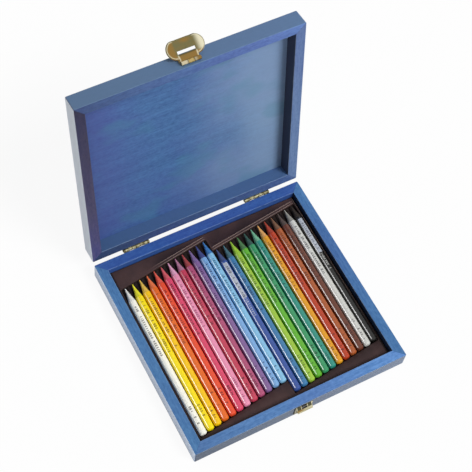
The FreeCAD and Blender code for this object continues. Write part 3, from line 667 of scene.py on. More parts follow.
def makeCatchBrass():
    # Dark olive slopes with painted highlights on their edges, painted shadow in the recess between them and
    # on the plate's left side, a painted highlight on the lip, and painted light that pales the plate towards
    # the right
    look = catchLook
    material, coords = newMaterial("catchPlateBrass")
    axes = split(coords)
    side = maths("ABSOLUTE", axes["X"])
    out = minus(product(axes["Y"], -1), case["halfDepth"])
    inner, outer = look["wing"]
    slope = ramp(out, look["slopeOut"] + look["blur"], look["slopeOut"] - look["blur"])
    onWing = near(side, (inner + outer) / 2, (outer - inner) / 2)
    innerLine = near(side, inner - look["lineShift"], look["lineHalves"][0])
    outerLine = near(side, outer + look["lineShift"], look["lineHalves"][1])
    dust = dustOn(coords, look["dust"])
    colour = overlaid(
        mixColour(ramp(axes["X"], *look["fold"]), look["edge"], look["tan"]),
        (product(onWing, slope), look["block"]),
        (product(maths("MAXIMUM", innerLine, outerLine), slope), look["edge"]),
        (product(maths("LESS_THAN", side, inner - look["recessGap"]), slope), look["recess"]),
        (maths("LESS_THAN", axes["X"], -outer - look["leftGap"]), look["block"]),
        (ramp(out, look["tipOut"], look["tipOut"] + look["blur"]), look["tip"]),
        (product(dust["Cloud"], 0.25), look["block"]),
    )
    values = {"Base Color": colour, "Metallic": 0.85, "Roughness": 0.34}
    return finishMaterial(material, values, dust["Specks"], 0.15, brassLook["grainDepth"])


brass = {kind: makeBrass(kind) for kind in ("hinge", "clasp", "catch")}


def dressBrass():
    rows = []
    for side in ("left", "right"):
        rows.append((f"{side}BaseLeaf", f"{side}_hinge_base_leaf", "root", "hinge", brass["hinge"]))
        rows.append((f"{side}LidLeaf", f"{side}_hinge_lid_leaf", "lid", "hinge", brass["hinge"]))
        rows.append((f"{side}HingePin", f"{side}_hinge_pin", "root", "hinge", brass["hinge"]))
    rows.append(("claspPlate", "clasp_plate", "lid", "clasp", brass["clasp"]))
    rows.append(("claspPin", "clasp_pin", "lid", "clasp", brass["clasp"]))
    rows.append(("catchPlate", "catch_plate", "root", "catch", makeCatchBrass()))
    for name, node, body, metal, material in rows:
        mergedCopy(name, node, body, material, brassLook["softEdge"])


dressBrass()
print("brass dressed")


# Screws and nails

fastenerLook = {
    "screw": {
        "Head Radius": 1.5 * mm,
        "Head Height": 0.75 * mm,
        "Shank Radius": 0.75 * mm,
        "Shank Length": 6.9 * mm,
        "Slot Width": 0.4 * mm,
        "Slot Depth": 0.3 * mm,
        "Spin": 1.4,
        "Domed": False,
    },
    "nail": {
        "Head Radius": 1.3 * mm,
        "Head Height": 0.4 * mm,
        "Shank Radius": 0.6 * mm,
        "Shank Length": 5.9 * mm,
        "Spin": 3.0,
        "Domed": True,
    },
    "hingeMiddle": 63.4 * mm,
    "screwHalf": 7.5 * mm,
    "screwUp": 6.6 * mm,
    "nailHalf": 5.5 * mm,
    "claspNailUp": 10.2 * mm,
    "catchNailDown": 12.0 * mm,
    "headOut": 0.8 * mm,
    "catchHeadIn": 0.1 * mm,
}


def makeFastenerTree():
    # A slotted flush head or a domed head, with its shank, at each point of the mesh
    starts = fastenerLook["screw"] | {"Facing": (0, 0, 0), "Seed": 7}
    tree, source, finish = shapeTree("fasteners", starts)
    radius, height, thin, deep = [source[name] for name in list(starts)[:4]]
    coneInputs = {"Vertices": 40, "Radius Top": radius, "Radius Bottom": thin, "Depth": height}
    cone = addNode("GeometryNodeMeshCone", coneInputs).outputs["Mesh"]
    cone = moved(cone, combined(z=product(height, -1)))
    slotSize = combined(product(radius, 3), source["Slot Width"], product(source["Slot Depth"], 2))
    slot = addNode("GeometryNodeMeshCube", {"Size": slotSize}).outputs["Mesh"]
    cut = addNode("GeometryNodeMeshBoolean", {"Mesh 1": cone, "Mesh 2": slot}, operation="DIFFERENCE")
    ballInputs = {"Segments": 32, "Rings": 20, "Radius": 1.0}
    ball = addNode("GeometryNodeMeshUVSphere", ballInputs, tree).outputs["Mesh"]
    place = pointPlace(tree)
    up = product(maths("MAXIMUM", place["Z"], 0.0), height)
    dome = placed(ball, combined(product(place["X"], radius), product(place["Y"], radius), up))
    headInputs = {"Switch": source["Domed"], "False": cut.outputs["Mesh"], "True": dome}
    head = addNode("GeometryNodeSwitch", headInputs, input_type="GEOMETRY").outputs[0]
    shankInputs = {"Vertices": 20, "Radius": thin, "Depth": deep}
    shank = addNode("GeometryNodeMeshCylinder", shankInputs).outputs["Mesh"]
    shank = moved(shank, combined(z=product(deep, -0.5)))
    both = tree.nodes.new("GeometryNodeJoinGeometry")
    for part in (head, shank):
        tree.links.new(part, both.inputs[0])
    facing = addNode("FunctionNodeEulerToRotation", {"Euler": source["Facing"]}).outputs[0]
    setInputs = {"Points": source["Geometry"], "Instance": both.outputs[0], "Rotation": facing}
    copies = addNode("GeometryNodeInstanceOnPoints", setInputs).outputs["Instances"]
    chance = addNode("FunctionNodeRandomValue", {"Seed": source["Seed"]}, data_type="FLOAT").outputs[1]
    spin = combined(z=product(minus(chance, 0.5), source["Spin"]))
    turnInputs = {"Instances": copies, "Rotation": spin, "Local Space": True}
    return finish(addNode("GeometryNodeRotateInstances", turnInputs).outputs[0])


def makeFasteners():
    look = fastenerLook
    tree = makeFastenerTree()
    screws = [side * look["hingeMiddle"] + way * look["screwHalf"] for side in (-1, 1) for way in (-1, 1)]
    nails = [-look["nailHalf"], look["nailHalf"]]
    out = case["halfDepth"] + look["headOut"]
    middle = case["hinge"].z
    claspPlace = (-out, case["lidRim"] + look["claspNailUp"])
    catchPlace = (look["catchHeadIn"] - out, case["baseRim"] - look["catchNailDown"])
    rows = (
        ("base_hinge_screws", "screw", "root", "hinge", screws, (out, middle - look["screwUp"]), 1),
        ("lid_hinge_screws", "screw", "lid", "hinge", screws, (out, middle + look["screwUp"]), 1),
        ("clasp_nails", "nail", "lid", "clasp", nails, claspPlace, -1),
        ("catch_nails", "nail", "root", "catch", nails, catchPlace, -1),
    )
    for number, (node, kind, body, metal, sides, (y, z), way) in enumerate(rows):
        places = [Vector((x, y, z)) for x in sides]
        facing = -way * math.pi / 2
        if body == "lid":
            places = [onOpenLid(place) for place in places]
            facing -= case["openAngle"]
        points = bpy.data.meshes.new(node + "Places")
        points.from_pydata(places, [], [])
        values = look[kind] | {"Facing": (facing, 0, 0), "Seed": number + 3, "Material": brass[metal]}
        mesh = applyTree(node + "Turned", points, tree, values)
        shadeByAngle(mesh)
        addPiece(node + "_turned", mesh, body, node, brass[metal])


makeFasteners()
print("screws and nails set")


# The clasp's lever: one sheet, dished at its rim, with a slot for the catch and two rolled knuckles

leverLook = {
    "sheet": 0.8 * mm,
    "barrel": 1.85 * mm,
    "neckHalf": 9.0 * mm,
    "tongueHalf": 2.85 * mm,
    "notchEnd": 2.05 * mm,
    "lobeRadius": 8.7 * mm,
    "lobeSide": 8.6 * mm,
    "lobeDrop": 12.2 * mm,
    "lobeOverlap": 4 * mm,
    "end": 20.5 * mm,
    "flareStart": 14.5 * mm,
    "flareRadius": 16.0 * mm,
    "dishReach": 4.6 * mm,
    "dishRise": 1.25 * mm,
    "dishStart": (1.0 * mm, 5.0 * mm),
    "flatShare": 0.85,
    "flatSide": (9 * mm, 6 * mm),
    "flatDrop": (12 * mm, 15 * mm),
    "windowHalf": 8.25 * mm,
    "windowTop": 7.6 * mm,
    "windowEnd": 10.7 * mm,
    "softEdge": 0.14 * mm,
    "dust": (1800.0, 300.0),
    # Olive brass; the gold on the left lobe and near the end is painted reflection, the cream painted
    # highlight and reflection, the shadow painted shade
    "olive": rgb(118, 114, 78),
    "gold": rgb(146, 116, 64),
    "highlightCream": rgb(240, 233, 202),
    "shadow": rgb(66, 54, 34),
}

# The lever's rows, by the curl's angles and the drops below the pin, and its columns, in mm
leverGrid = {
    "curl": range(300, 0, -15),
    "neckDrops": (0, 0.7, 1.4, 2.05, 2.8, 3.515, 3.56, 3.65, 3.8, 4.05, 4.4, 4.9, 5.6, 6.3, 7.0, 7.6, 8.6),
    "lobeDrops": (9.7, 10.7, 11.5, 12.2, 13, 13.8, 14.5, 15.2, 15.9, 16.6, 17.2, 17.8, 18.4, 18.9, 19.4),
    "endDrops": (19.8, 20.1, 20.3, 20.4, 20.48, 20.5),
    "inner": (0, 1.4, 2.85, 3.6, 4.5, 5.4, 6.3, 7.2, 7.8, 8.25, 8.6, 9.0),
    "outerShares": (0.0, 0.15, 0.3, 0.45, 0.58, 0.7, 0.8, 0.88, 0.94, 0.98, 1.0),
    "leastLobe": 0.05 * mm,
}

# Painted highlights, reflections and shade on the lever: a line's place and width, or the places where a tone
# begins and is full
leverTones = {
    "slits": (3.0 * mm, 0.6 * mm),
    "curlLight": (6.5 * mm, 2.5 * mm),
    "lobes": (8 * mm, 10 * mm),
    "rimLine": (1.0 * mm, 0.4 * mm),
    "paleLobe": (8.5 * mm, 14.5 * mm),
    "paleLobeTop": (4 * mm, 8 * mm),
    "neckLine": (8.3 * mm, 0.5 * mm),
    "neckLineEnd": (8 * mm, 6 * mm),
    "goldLobe": (8.6 * mm, 11 * mm),
    "goldLobeRim": (0.9 * mm, 1.6 * mm),
    "patchSide": (2 * mm, 4 * mm),
    "patchDrop": (17.8 * mm, 1.7 * mm),
    "neck": (7.4 * mm, 5.9 * mm),
    "slotLine": (7.0 * mm, 0.5 * mm),
    "slotLineEnd": (8.2 * mm, 7.6 * mm),
    "endEdge": (19.9 * mm, 20.3 * mm),
    "endEdgeSide": (-1 * mm, 3 * mm),
    "outline": (0.5 * mm, 0.2 * mm),
}


def smooth(value, low, high):
    share = min(max((value - low) / (high - low), 0.0), 1.0)
    return share * share * (3 - 2 * share)


def hump(value, place, width):
    return math.exp(-(((value - place) / width) ** 2))


def leverHalfWidth(drop):
    look = leverLook
    span = look["lobeRadius"] ** 2 - (drop - look["lobeDrop"]) ** 2
    lobe = look["lobeSide"] + math.sqrt(span) if span > 0 else 0.0
    return max(look["neckHalf"] if drop <= look["lobeDrop"] else 0.0, lobe)


def leverEdgeGap(x, drop):
    # How far a point of the lever lies inside its outline
    look = leverLook
    side, toEnd = abs(x), look["end"] - drop
    lobe = look["lobeRadius"] - math.hypot(side - look["lobeSide"], drop - look["lobeDrop"])
    neck = look["neckHalf"] - side if drop < look["lobeDrop"] else 0.0
    middle = min(look["lobeSide"] + look["lobeOverlap"] - side, toEnd) if drop > look["lobeDrop"] else 0.0
    return min(max(lobe, neck, middle, 0.0), toEnd)


def leverRise(x, drop):
    # The rim's rise towards the case, as a quarter of an ellipse
    look = leverLook
    share = max(0.0, 1 - leverEdgeGap(x, drop) / look["dishReach"])
    flatEnd = look["flatShare"] * smooth(abs(x), *look["flatSide"]) * smooth(drop, *look["flatDrop"])
    reach = smooth(drop, *look["dishStart"]) * (1 - flatEnd)
    return reach * look["dishRise"] * (1 - math.sqrt(1 - share * share))


def leverTonesAt(x, drop, curled):
    # How much painted highlight and reflection, gold tone and painted shade the brass has at a place
    tones = leverTones
    side, gap = abs(x), leverEdgeGap(x, drop)
    if curled:
        return 0.6 * smooth(x, *tones["curlLight"]), 0.8, 0.75 * hump(side, *tones["slits"])
    onLobe = smooth(side, *tones["lobes"])
    rimLine = hump(gap, *tones["rimLine"]) * onLobe
    paleLobe = smooth(x, *tones["paleLobe"]) * smooth(drop, *tones["paleLobeTop"])
    neckLine = hump(side, *tones["neckLine"]) * smooth(drop, *tones["neckLineEnd"])
    goldLobe = smooth(-x, *tones["goldLobe"]) * smooth(gap, *tones["goldLobeRim"])
    patch = hump(x, *tones["patchSide"]) * hump(drop, *tones["patchDrop"])
    slotLine = hump(drop, *tones["slotLine"]) * smooth(side, *tones["slotLineEnd"])
    endEdge = smooth(drop, *tones["endEdge"]) * smooth(x, *tones["endEdgeSide"])
    outline = smooth(gap, *tones["outline"]) * onLobe
    paintedHighlight = max(0.85 * rimLine, 0.9 * paleLobe, 0.8 * neckLine) * (1 - endEdge)
    gold = max(goldLobe, patch, 0.9 * smooth(drop, *tones["neck"]))
    return paintedHighlight, gold, max(0.6 * slotLine, 0.8 * endEdge, 0.45 * outline)


def makeLeverMesh():
    look, grid = leverLook, leverGrid
    drops = grid["neckDrops"] + grid["lobeDrops"] + grid["endDrops"]
    rows = [(math.radians(angle), 0.0) for angle in grid["curl"]] + [(0.0, drop * mm) for drop in drops]
    inner = [-x * mm for x in reversed(grid["inner"][1:])] + [x * mm for x in grid["inner"]]
    turn = Matrix.Rotation(-case["openAngle"] - case["leverAngle"], 3, "X")
    shape = bmesh.new()
    layers = [shape.verts.layers.float.new(name) for name in ("paintedHighlight", "gold", "shadow")]
    made = {}

    def corner(row, x):
        key = (row, round(x * 1e7))
        if key not in made:
            angle, drop = rows[row]
            past = max(0.0, drop - look["flareStart"])
            flare = look["flareRadius"] - math.sqrt(look["flareRadius"] ** 2 - past**2)
            out = look["barrel"] * math.cos(angle) + flare - leverRise(x, drop)
            place = turn @ Vector((x, -out, look["barrel"] * math.sin(angle) - drop)) + case["leverPin"]
            made[key] = addPoint(shape, layers, place, leverTonesAt(x, drop, angle > 0))
        return made[key]

    def addFace(row, upper, lower):
        # A face from two places of a row to two of the next row
        ends = ((row, upper[0]), (row + 1, lower[0]), (row + 1, lower[1]), (row, upper[1]))
        shape.faces.new([corner(*end) for end in ends])

    def lobePairs(drop):
        # The neighbouring columns of a lobe, from the neck outwards
        lobe = leverHalfWidth(drop) - look["neckHalf"]
        places = [look["neckHalf"] + share * lobe for share in grid["outerShares"]]
        return list(zip(places, places[1:])) if lobe > grid["leastLobe"] else []

    for row in range(len(rows) - 1):
        drop, nextDrop = rows[row][1], rows[row + 1][1]
        middle = (drop + nextDrop) / 2
        for pair in zip(inner, inner[1:]):
            centre = abs(sum(pair)) / 2
            inNotch = centre < look["tongueHalf"] and middle < look["notchEnd"]
            inWindow = centre < look["windowHalf"] and look["windowTop"] < middle < look["windowEnd"]
            if not inNotch and not inWindow:
                addFace(row, pair, pair)
        for upper, lower in zip(lobePairs(drop), lobePairs(nextDrop)):
            addFace(row, upper, lower)
            addFace(row, (-upper[1], -upper[0]), (-lower[1], -lower[0]))
    return smoothMesh(shape, "leverSheet")


def makeLeverMaterial():
    # Painted highlights and reflections in cream and gold, and painted shadow, laid over the olive brass
    look = leverLook
    material, coords = newMaterial("leverBrass")
    dust = dustOn(coords, look["dust"])
    paintedHighlight = meshValue(material, "paintedHighlight")
    gold = plus(meshValue(material, "gold"), product(dust["Cloud"], 0.25))
    colour = overlaid(
        mixColour(gold, look["olive"], look["gold"]),
        (paintedHighlight, look["highlightCream"]),
        (meshValue(material, "shadow"), look["shadow"]),
    )
    values = {"Base Color": colour, "Metallic": 1.0, "Roughness": ramp(paintedHighlight, 0.0, 1.0, 0.36, 0.2)}
    return finishMaterial(material, values, dust["Specks"], 0.1, brassLook["grainDepth"])


def makeLever():
    sheet, finish = makeLeverMesh(), makeLeverMaterial()
    lever = addPiece("claspLever", sheet, "clasp", "clasp_lever", finish)
    thicken(lever, leverLook["sheet"])
    softEdges(lever, leverLook["softEdge"])


makeLever()
print("lever made")


# The thermoformed tray

trayLook = {
    "sheet": 0.8 * mm,
    "deckDrop": 6.2 * mm,
    "wellDepth": 3.85 * mm,
    "ridgeHeight": 1.6 * mm,
    "ridgeBase": 4.6 * mm,
    "ridgeSlope": 0.85,
    "pitch": 7.85 * mm,
    "pencils": 24,
    "length": 157 * mm,
    "sideGap": 3.95 * mm,
    "frontGap": 1.0 * mm,
    "rearGap": 1.2 * mm,
    "crests": (0.45 * mm, 2.85 * mm),
    "crestHalf": 0.32 * mm,
    "crestHeight": 0.4 * mm,
    "crestInner": (0.6 * mm, 2.4 * mm),
    "crestOuter": 2 * mm,
    "crestLeft": (-70 * mm, -30 * mm),
    "sideLine": 0.8 * mm,
    "sideLineHighlight": 0.8,
    "sideLineFront": (-60 * mm, -20 * mm),
    "sideBlur": 0.2 * mm,
    "wallRun": 0.9 * mm,
    "edgeRound": 1.1 * mm,
    "steps": {"left": 1.15 * mm, "right": 1.03 * mm},
    "dust": (1600.0, 30.0),
    "grainDepth": 0.05 * mm,
    "brown": rgb(77, 58, 57),
    "dark": rgb(63, 49, 49),
    "speck": rgb(120, 104, 98),
    "crestHighlight": rgb(138, 120, 114),
    "well": rgb(36, 28, 27),
}

# Where the tray's rows and columns lie, as shares of its forms
trayGrid = {
    "ridge": (0.06, 0.15, 0.25, 0.36, 0.5),
    "edge": (0.0, 0.05, 0.2, 0.5, 1.0),
    "wall": (0.0, 0.2, 0.4, 0.6, 0.8, 1.0),
    "crest": (-1.0, -0.6, -0.25, 0.25, 0.6, 1.0),
    "between": (0.02, 0.25, 0.5, 0.75, 0.98),
    "middleHalf": 0.4 * mm,
    "leastGap": 0.1 * mm,
}


def pencilStarts():
    # Each pencil's node and its front end, as the frame has them
    starts = []
    for name in sorted(frame["nodes"]):
        if name.startswith("pencil_") and name != "pencil_tray":
            low, high = nodeSize(name)
            starts.append((name, ((low.x + high.x) / 2, low.y, (low.z + high.z) / 2)))
    return starts


pencils = pencilStarts()
trayLow, trayHigh = nodeSize("pencil_tray")
wellHalf = (trayLook["pencils"] - 1) / 2 * trayLook["pitch"] + trayLook["sideGap"]
ridges = [(number - trayLook["pencils"] / 2) * trayLook["pitch"] for number in range(1, trayLook["pencils"])]


def spread(places, gap):
    # Places with no two closer than the gap
    kept = []
    for place in sorted(places):
        if not kept or place - kept[-1] > gap:
            kept.append(place)
    return kept


def wellEnds(x):
    # The well's front and rear, which step back from pencil to pencil
    look = trayLook
    first, side = (0, "left") if x < 0 else (12, "right")
    firstX, firstY, height = pencils[first][1]
    front = firstY + (x - firstX) / look["pitch"] * look["steps"][side] - look["frontGap"]
    return front, front + look["frontGap"] + look["length"] + look["rearGap"]


def trayColumns():
    look, grid = trayLook, trayGrid
    columns = [wellHalf + look["sideLine"] + way * look["crestHalf"] for way in (-1, 0, 1)]
    for way, edge in ((-1, trayLow.x), (1, trayHigh.x)):
        columns.append(way * grid["middleHalf"])
        columns += [ridge + way * share * look["ridgeBase"] for ridge in ridges for share in grid["ridge"]]
        columns += [way * (wellHalf - share * look["wallRun"]) for share in grid["wall"]]
        columns += [edge - way * share * look["edgeRound"] for share in grid["edge"]]
    return spread(columns, grid["leastGap"])


def trayRows():
    look, grid = trayLook, trayGrid
    rows = [("front edge", share * look["edgeRound"]) for share in grid["edge"]]
    rows += [("front", share * look["wallRun"]) for share in grid["wall"]]
    rows += [("between", share) for share in grid["between"]]
    rows += [("rear", -share * look["wallRun"]) for share in reversed(grid["wall"])]
    half = look["crestHalf"]
    rows += [("rear", crest + share * half) for crest in look["crests"] for share in grid["crest"]]
    return rows + [("rear edge", -share * look["edgeRound"]) for share in reversed(grid["edge"])]


def trayRowAt(kind, amount, x):
    # How far back a row lies at a column
    front, rear = wellEnds(x)
    first, last = front + trayLook["wallRun"], rear - trayLook["wallRun"]
    places = {
        "front edge": trayLow.y + amount,
        "front": front + amount,
        "between": first + (last - first) * amount,
        "rear": rear + amount,
        "rear edge": trayHigh.y + amount,
    }
    return min(max(places[kind], trayLow.y), trayHigh.y)


def trayCrest(x, pastWell):
    # Two fine crests behind each well, which fade out at the left
    look = trayLook
    past = min(abs(pastWell - crest) for crest in look["crests"]) / look["crestHalf"]
    fade = smooth(abs(x), *look["crestInner"]) * smooth(wellHalf - abs(x), 0, look["crestOuter"])
    if x < 0:
        fade *= smooth(x, *look["crestLeft"])
    return fade * math.sqrt(1 - past * past) if past < 1 else 0.0


def trayPoint(x, y):
    # The place, its painted highlight on the crests and the side line, and its painted shade in the wells and
    # the side strips
    look = trayLook
    front, rear = wellEnds(x)
    inside = smooth(wellHalf - abs(x), 0, look["wallRun"])
    inside *= smooth(y - front, 0, look["wallRun"]) * smooth(rear - y, 0, look["wallRun"])
    toRidge = min(abs(x - ridge) for ridge in ridges)
    ridgeHalf = look["ridgeBase"] / 2
    ridgeUp = look["ridgeHeight"] * smooth(ridgeHalf - toRidge, 0, ridgeHalf * look["ridgeSlope"])
    crest = trayCrest(x, y - rear)
    deck = case["baseRim"] - look["deckDrop"]
    z = deck - inside * (look["wellDepth"] - ridgeUp) + crest * look["crestHeight"]
    for gap in (x - trayLow.x, trayHigh.x - x, y - trayLow.y, trayHigh.y - y):
        share = max(0.0, 1 - gap / look["edgeRound"])
        z -= look["edgeRound"] * (1 - math.sqrt(max(0.0, 1 - share**2)))
    fromLine = abs(x - wellHalf - look["sideLine"]) / look["crestHalf"]
    sideLine = look["sideLineHighlight"] * max(0.0, 1 - fromLine) * smooth(y, *look["sideLineFront"])
    sideShade = smooth(abs(x), wellHalf - look["sideBlur"], wellHalf + look["sideBlur"])
    return (x, y, z), (max(crest, sideLine), max(smooth(inside, 0.05, 0.6), sideShade))


def makeTrayMesh():
    shell = bmesh.new()
    layers = [shell.verts.layers.float.new(name) for name in ("crest", "well")]
    columns = trayColumns()
    grid = []
    for kind, amount in trayRows():
        places = [(x, trayRowAt(kind, amount, x)) for x in columns]
        grid.append([addPoint(shell, layers, *trayPoint(x, y)) for x, y in places])
    for lower, upper in zip(grid, grid[1:]):
        for index in range(len(columns) - 1):
            shell.faces.new((lower[index], lower[index + 1], upper[index + 1], upper[index]))
    rim = [edge for edge in shell.edges if edge.is_boundary]
    for part in bmesh.ops.extrude_edge_only(shell, edges=rim)["geom"]:
        if isinstance(part, bmesh.types.BMVert):
            part.co.z = trayLow.z
    bmesh.ops.recalc_face_normals(shell, faces=shell.faces)
    return smoothMesh(shell, "trayShell")


def makeTrayMaterial():
    look = trayLook
    material, coords = newMaterial("trayPlastic")
    dust = dustOn(coords, look["dust"])
    # Painted shade in the wells and side strips, and painted highlights on the crests and the side line
    colour = overlaid(
        mixColour(dust["Cloud"], look["brown"], look["dark"]),
        (product(dust["Specks"], 0.06), look["speck"]),
        (meshValue(material, "well"), look["well"]),
        (ramp(meshValue(material, "crest"), 0.1, 0.75), look["crestHighlight"]),
    )
    rough = ramp(dust["Cloud"], 0, 1, 0.46, 0.58)
    values = {"Base Color": colour, "Roughness": rough, "Specular IOR Level": 0.12}
    return finishMaterial(material, values, noise(coords, 2600.0, 2.0), 0.12, look["grainDepth"])


tray = addPiece("pencilTray", makeTrayMesh(), "root", "pencil_tray", makeTrayMaterial())
thicken(tray, trayLook["sheet"])
print("tray made")


# The pencils

# The colours of barrel, cone and printed ticks
pencilColours = [
    ((253, 251, 238), (254, 253, 244), (132, 130, 122)),
    ((253, 228, 10), (254, 245, 60), (140, 118, 16)),
    ((251, 201, 12), (254, 209, 90), (128, 86, 18)),
    ((232, 108, 32), (254, 131, 82), (124, 40, 14)),
    ((233, 80, 46), (252, 106, 87), (116, 24, 18)),
    ((220, 73, 106), (237, 106, 115), (110, 24, 46)),
    ((238, 150, 181), (251, 181, 211), (160, 80, 112)),
    ((196, 64, 88), (196, 132, 161), (112, 26, 46)),
    ((177, 80, 116), (180, 80, 82), (104, 30, 60)),
    ((130, 97, 149), (141, 115, 168), (64, 40, 84)),
    ((125, 171, 219), (78, 88, 146), (44, 66, 108)),
    ((136, 193, 227), (73, 135, 200), (54, 100, 130)),
    ((56, 84, 155), (79, 93, 139), (176, 186, 206)),
    ((62, 123, 170), (82, 123, 134), (24, 56, 92)),
    ((158, 198, 62), (174, 220, 70), (74, 104, 24)),
    ((97, 178, 46), (93, 140, 90), (40, 80, 20)),
    ((56, 150, 98), (68, 102, 92), (16, 70, 44)),
    ((45, 144, 127), (132, 201, 161), (18, 78, 72)),
    ((228, 158, 30), (243, 181, 109), (130, 82, 20)),
    ((183, 61, 28), (189, 82, 64), (96, 26, 14)),
    ((171, 88, 42), (139, 103, 80), (84, 36, 16)),
    ((101, 52, 34), (99, 86, 81), (50, 22, 16)),
    ((210, 210, 204), (164, 162, 153), (100, 100, 100)),
    ((21, 21, 19), (62, 55, 50), (170, 170, 166)),
]

pencilShape = {
    "length": 157 * mm,
    "radius": 3.55 * mm,
    "cone": 15 * mm,
    "coneSteps": 10,
    "coneHollow": 0.1 * mm,
    "tip": 0.5 * mm,
    "tipLength": 1.2 * mm,
    "tipRows": ((0.9 * mm, 1.12), (0.35 * mm, 0.8), (0.08 * mm, 0.4)),
    "domeLength": 2.3 * mm,
    "domeFlat": 1.2 * mm,
    "domeSteps": 7,
    "lacquer": 0.07 * mm,
    "lacquerRun": (0.25 * mm, 0.06 * mm),
    "endHoles": (0.05 * mm, 0.03 * mm),
    "sides": 48,
}


def pencilProfile():
    # Distance along the pencil and radius, from the dipped end to the point
    shape = pencilShape
    radius, length, cone, flat, tip = [shape[key] for key in ("radius", "length", "cone", "domeFlat", "tip")]
    shoulder, bare = length - cone, radius - shape["lacquer"]
    before, after = shape["lacquerRun"]
    rows = [(0.0, shape["endHoles"][0]), (0.0, flat)]
    for number in range(1, shape["domeSteps"] + 1):
        angle = number / shape["domeSteps"] * math.pi / 2
        rows.append((shape["domeLength"] * (1 - math.cos(angle)), flat + (radius - flat) * math.sin(angle)))
    rows += [(share * shoulder, radius) for share in (0.1, 0.3, 0.5, 0.7, 0.9)]
    rows += [(shoulder - before, radius), (shoulder, radius - 0.4 * shape["lacquer"])]
    rows.append((shoulder + after, bare))
    for number in range(1, shape["coneSteps"]):
        share = number / shape["coneSteps"]
        hollow = shape["coneHollow"] * math.sin(share * math.pi)
        rows.append((shoulder + share * (cone - shape["tipLength"]), bare - share * (bare - tip) - hollow))
    rows += [(length - back, tip * share) for back, share in shape["tipRows"]]
    return rows + [(length, shape["endHoles"][1])]


def makePencilTree():
    # Turns a line of points, whose x is the radius, into a round pencil at its place
    starts = {"Front End": (0, 0, 0), "Sides": pencilShape["sides"]}
    tree, source, finish = shapeTree("pencilTurning", starts)
    line = addNode("GeometryNodeMeshToCurve", {"Mesh": source["Geometry"]}).outputs["Curve"]
    place = pointPlace(tree)
    sized = addNode("GeometryNodeSetCurveRadius", {"Curve": line, "Radius": place["X"]}).outputs[0]
    straight = placed(sized, combined(y=place["Y"]))
    circleInputs = {"Resolution": source["Sides"], "Radius": 1.0}
    circle = addNode("GeometryNodeCurvePrimitiveCircle", circleInputs).outputs["Curve"]
    radius = addNode("GeometryNodeInputRadius", tree=tree).outputs[0]
    turnInputs = {"Curve": straight, "Profile Curve": circle, "Scale": radius, "Fill Caps": True}
    turned = addNode("GeometryNodeCurveToMesh", turnInputs).outputs["Mesh"]
    atPlace = moved(turned, source["Front End"])
    return finish(addNode("GeometryNodeSetShadeSmooth", {"Geometry": atPlace}).outputs["Geometry"])


# The lacquer and its print: a group's or panel's middle and half, and the shares that are drawn or skipped
lacquerLook = {
    "cell": 2.1 * mm,
    "seedSteps": (17.31, 91.7),
    "tickLengths": (0.3, 0.8),
    "tickHeights": (0.2, 0.38),
    "skipped": 0.2,
    "frontSkipped": 0.55,
    "lineTurn": -0.08,
    "rearGroup": (34 * mm, 28 * mm),
    "frontGroup": (17 * mm, 11 * mm),
    "panelAlong": (22 * mm, 20 * mm),
    "panelAround": (-0.05, 0.62),
    "panelPencils": (12, 23),
    "panelTone": rgb(180, 186, 196),
    "panelInk": rgb(96, 98, 112),
    "inkCover": 0.85,
    "bareEdge": 0.1 * mm,
    "coneDark": 0.9,
    "coat": 0.8,
    "grainDepth": 0.06 * mm,
}


def makeLacquer():
    # Where the bare cone starts, the pale panel, the plain printed ticks and the cone's turning marks
    look = lacquerLook
    starts = {"Vector": (0, 0, 0), "Front End": (0, 0, 0), "Length": pencilShape["length"]}
    starts |= {"Cone": pencilShape["cone"], "Seed": 0.0, "Panel": 0.0}
    ins, finish = shaderGroup("lacquerBands", starts)
    local = vectorMaths("SUBTRACT", ins["Vector"], ins["Front End"])
    axes = split(local)
    toCone = minus(minus(ins["Length"], ins["Cone"]), axes["Y"])
    around = maths("ARCTAN2", axes["X"], axes["Z"])
    cellStep, drawStep = look["seedSteps"]
    cell = plus(product(axes["Y"], 1 / look["cell"]), product(ins["Seed"], cellStep))
    draw = plus(maths("FLOOR", cell), product(ins["Seed"], drawStep))
    chances = split(addNode("ShaderNodeTexWhiteNoise", {"W": draw}, noise_dimensions="1D").outputs["Color"])
    long = ramp(chances["X"], 0, 1, *look["tickLengths"], eased=False)
    tall = ramp(chances["Z"], 0, 1, *look["tickHeights"], eased=False)
    tick = product(
        maths("LESS_THAN", maths("FRACT", cell), long),
        maths("GREATER_THAN", chances["Y"], look["skipped"]),
        near(around, look["lineTurn"], tall),
    )
    frontGroup = product(
        near(axes["Y"], *look["frontGroup"]),
        maths("GREATER_THAN", chances["Y"], look["frontSkipped"]),
        minus(1.0, ins["Panel"]),
    )
    results = {
        "Bare": ramp(toCone, look["bareEdge"], -look["bareEdge"]),
        "Ink": product(tick, maths("MAXIMUM", near(toCone, *look["rearGroup"]), frontGroup)),
        "Panel": product(near(toCone, *look["panelAlong"]), near(around, *look["panelAround"]), ins["Panel"]),
        "Streaks": noise(local, (500, 2600, 500), 3.0, 0.6),
    }
    return finish(results)


lacquerBands = makeLacquer()


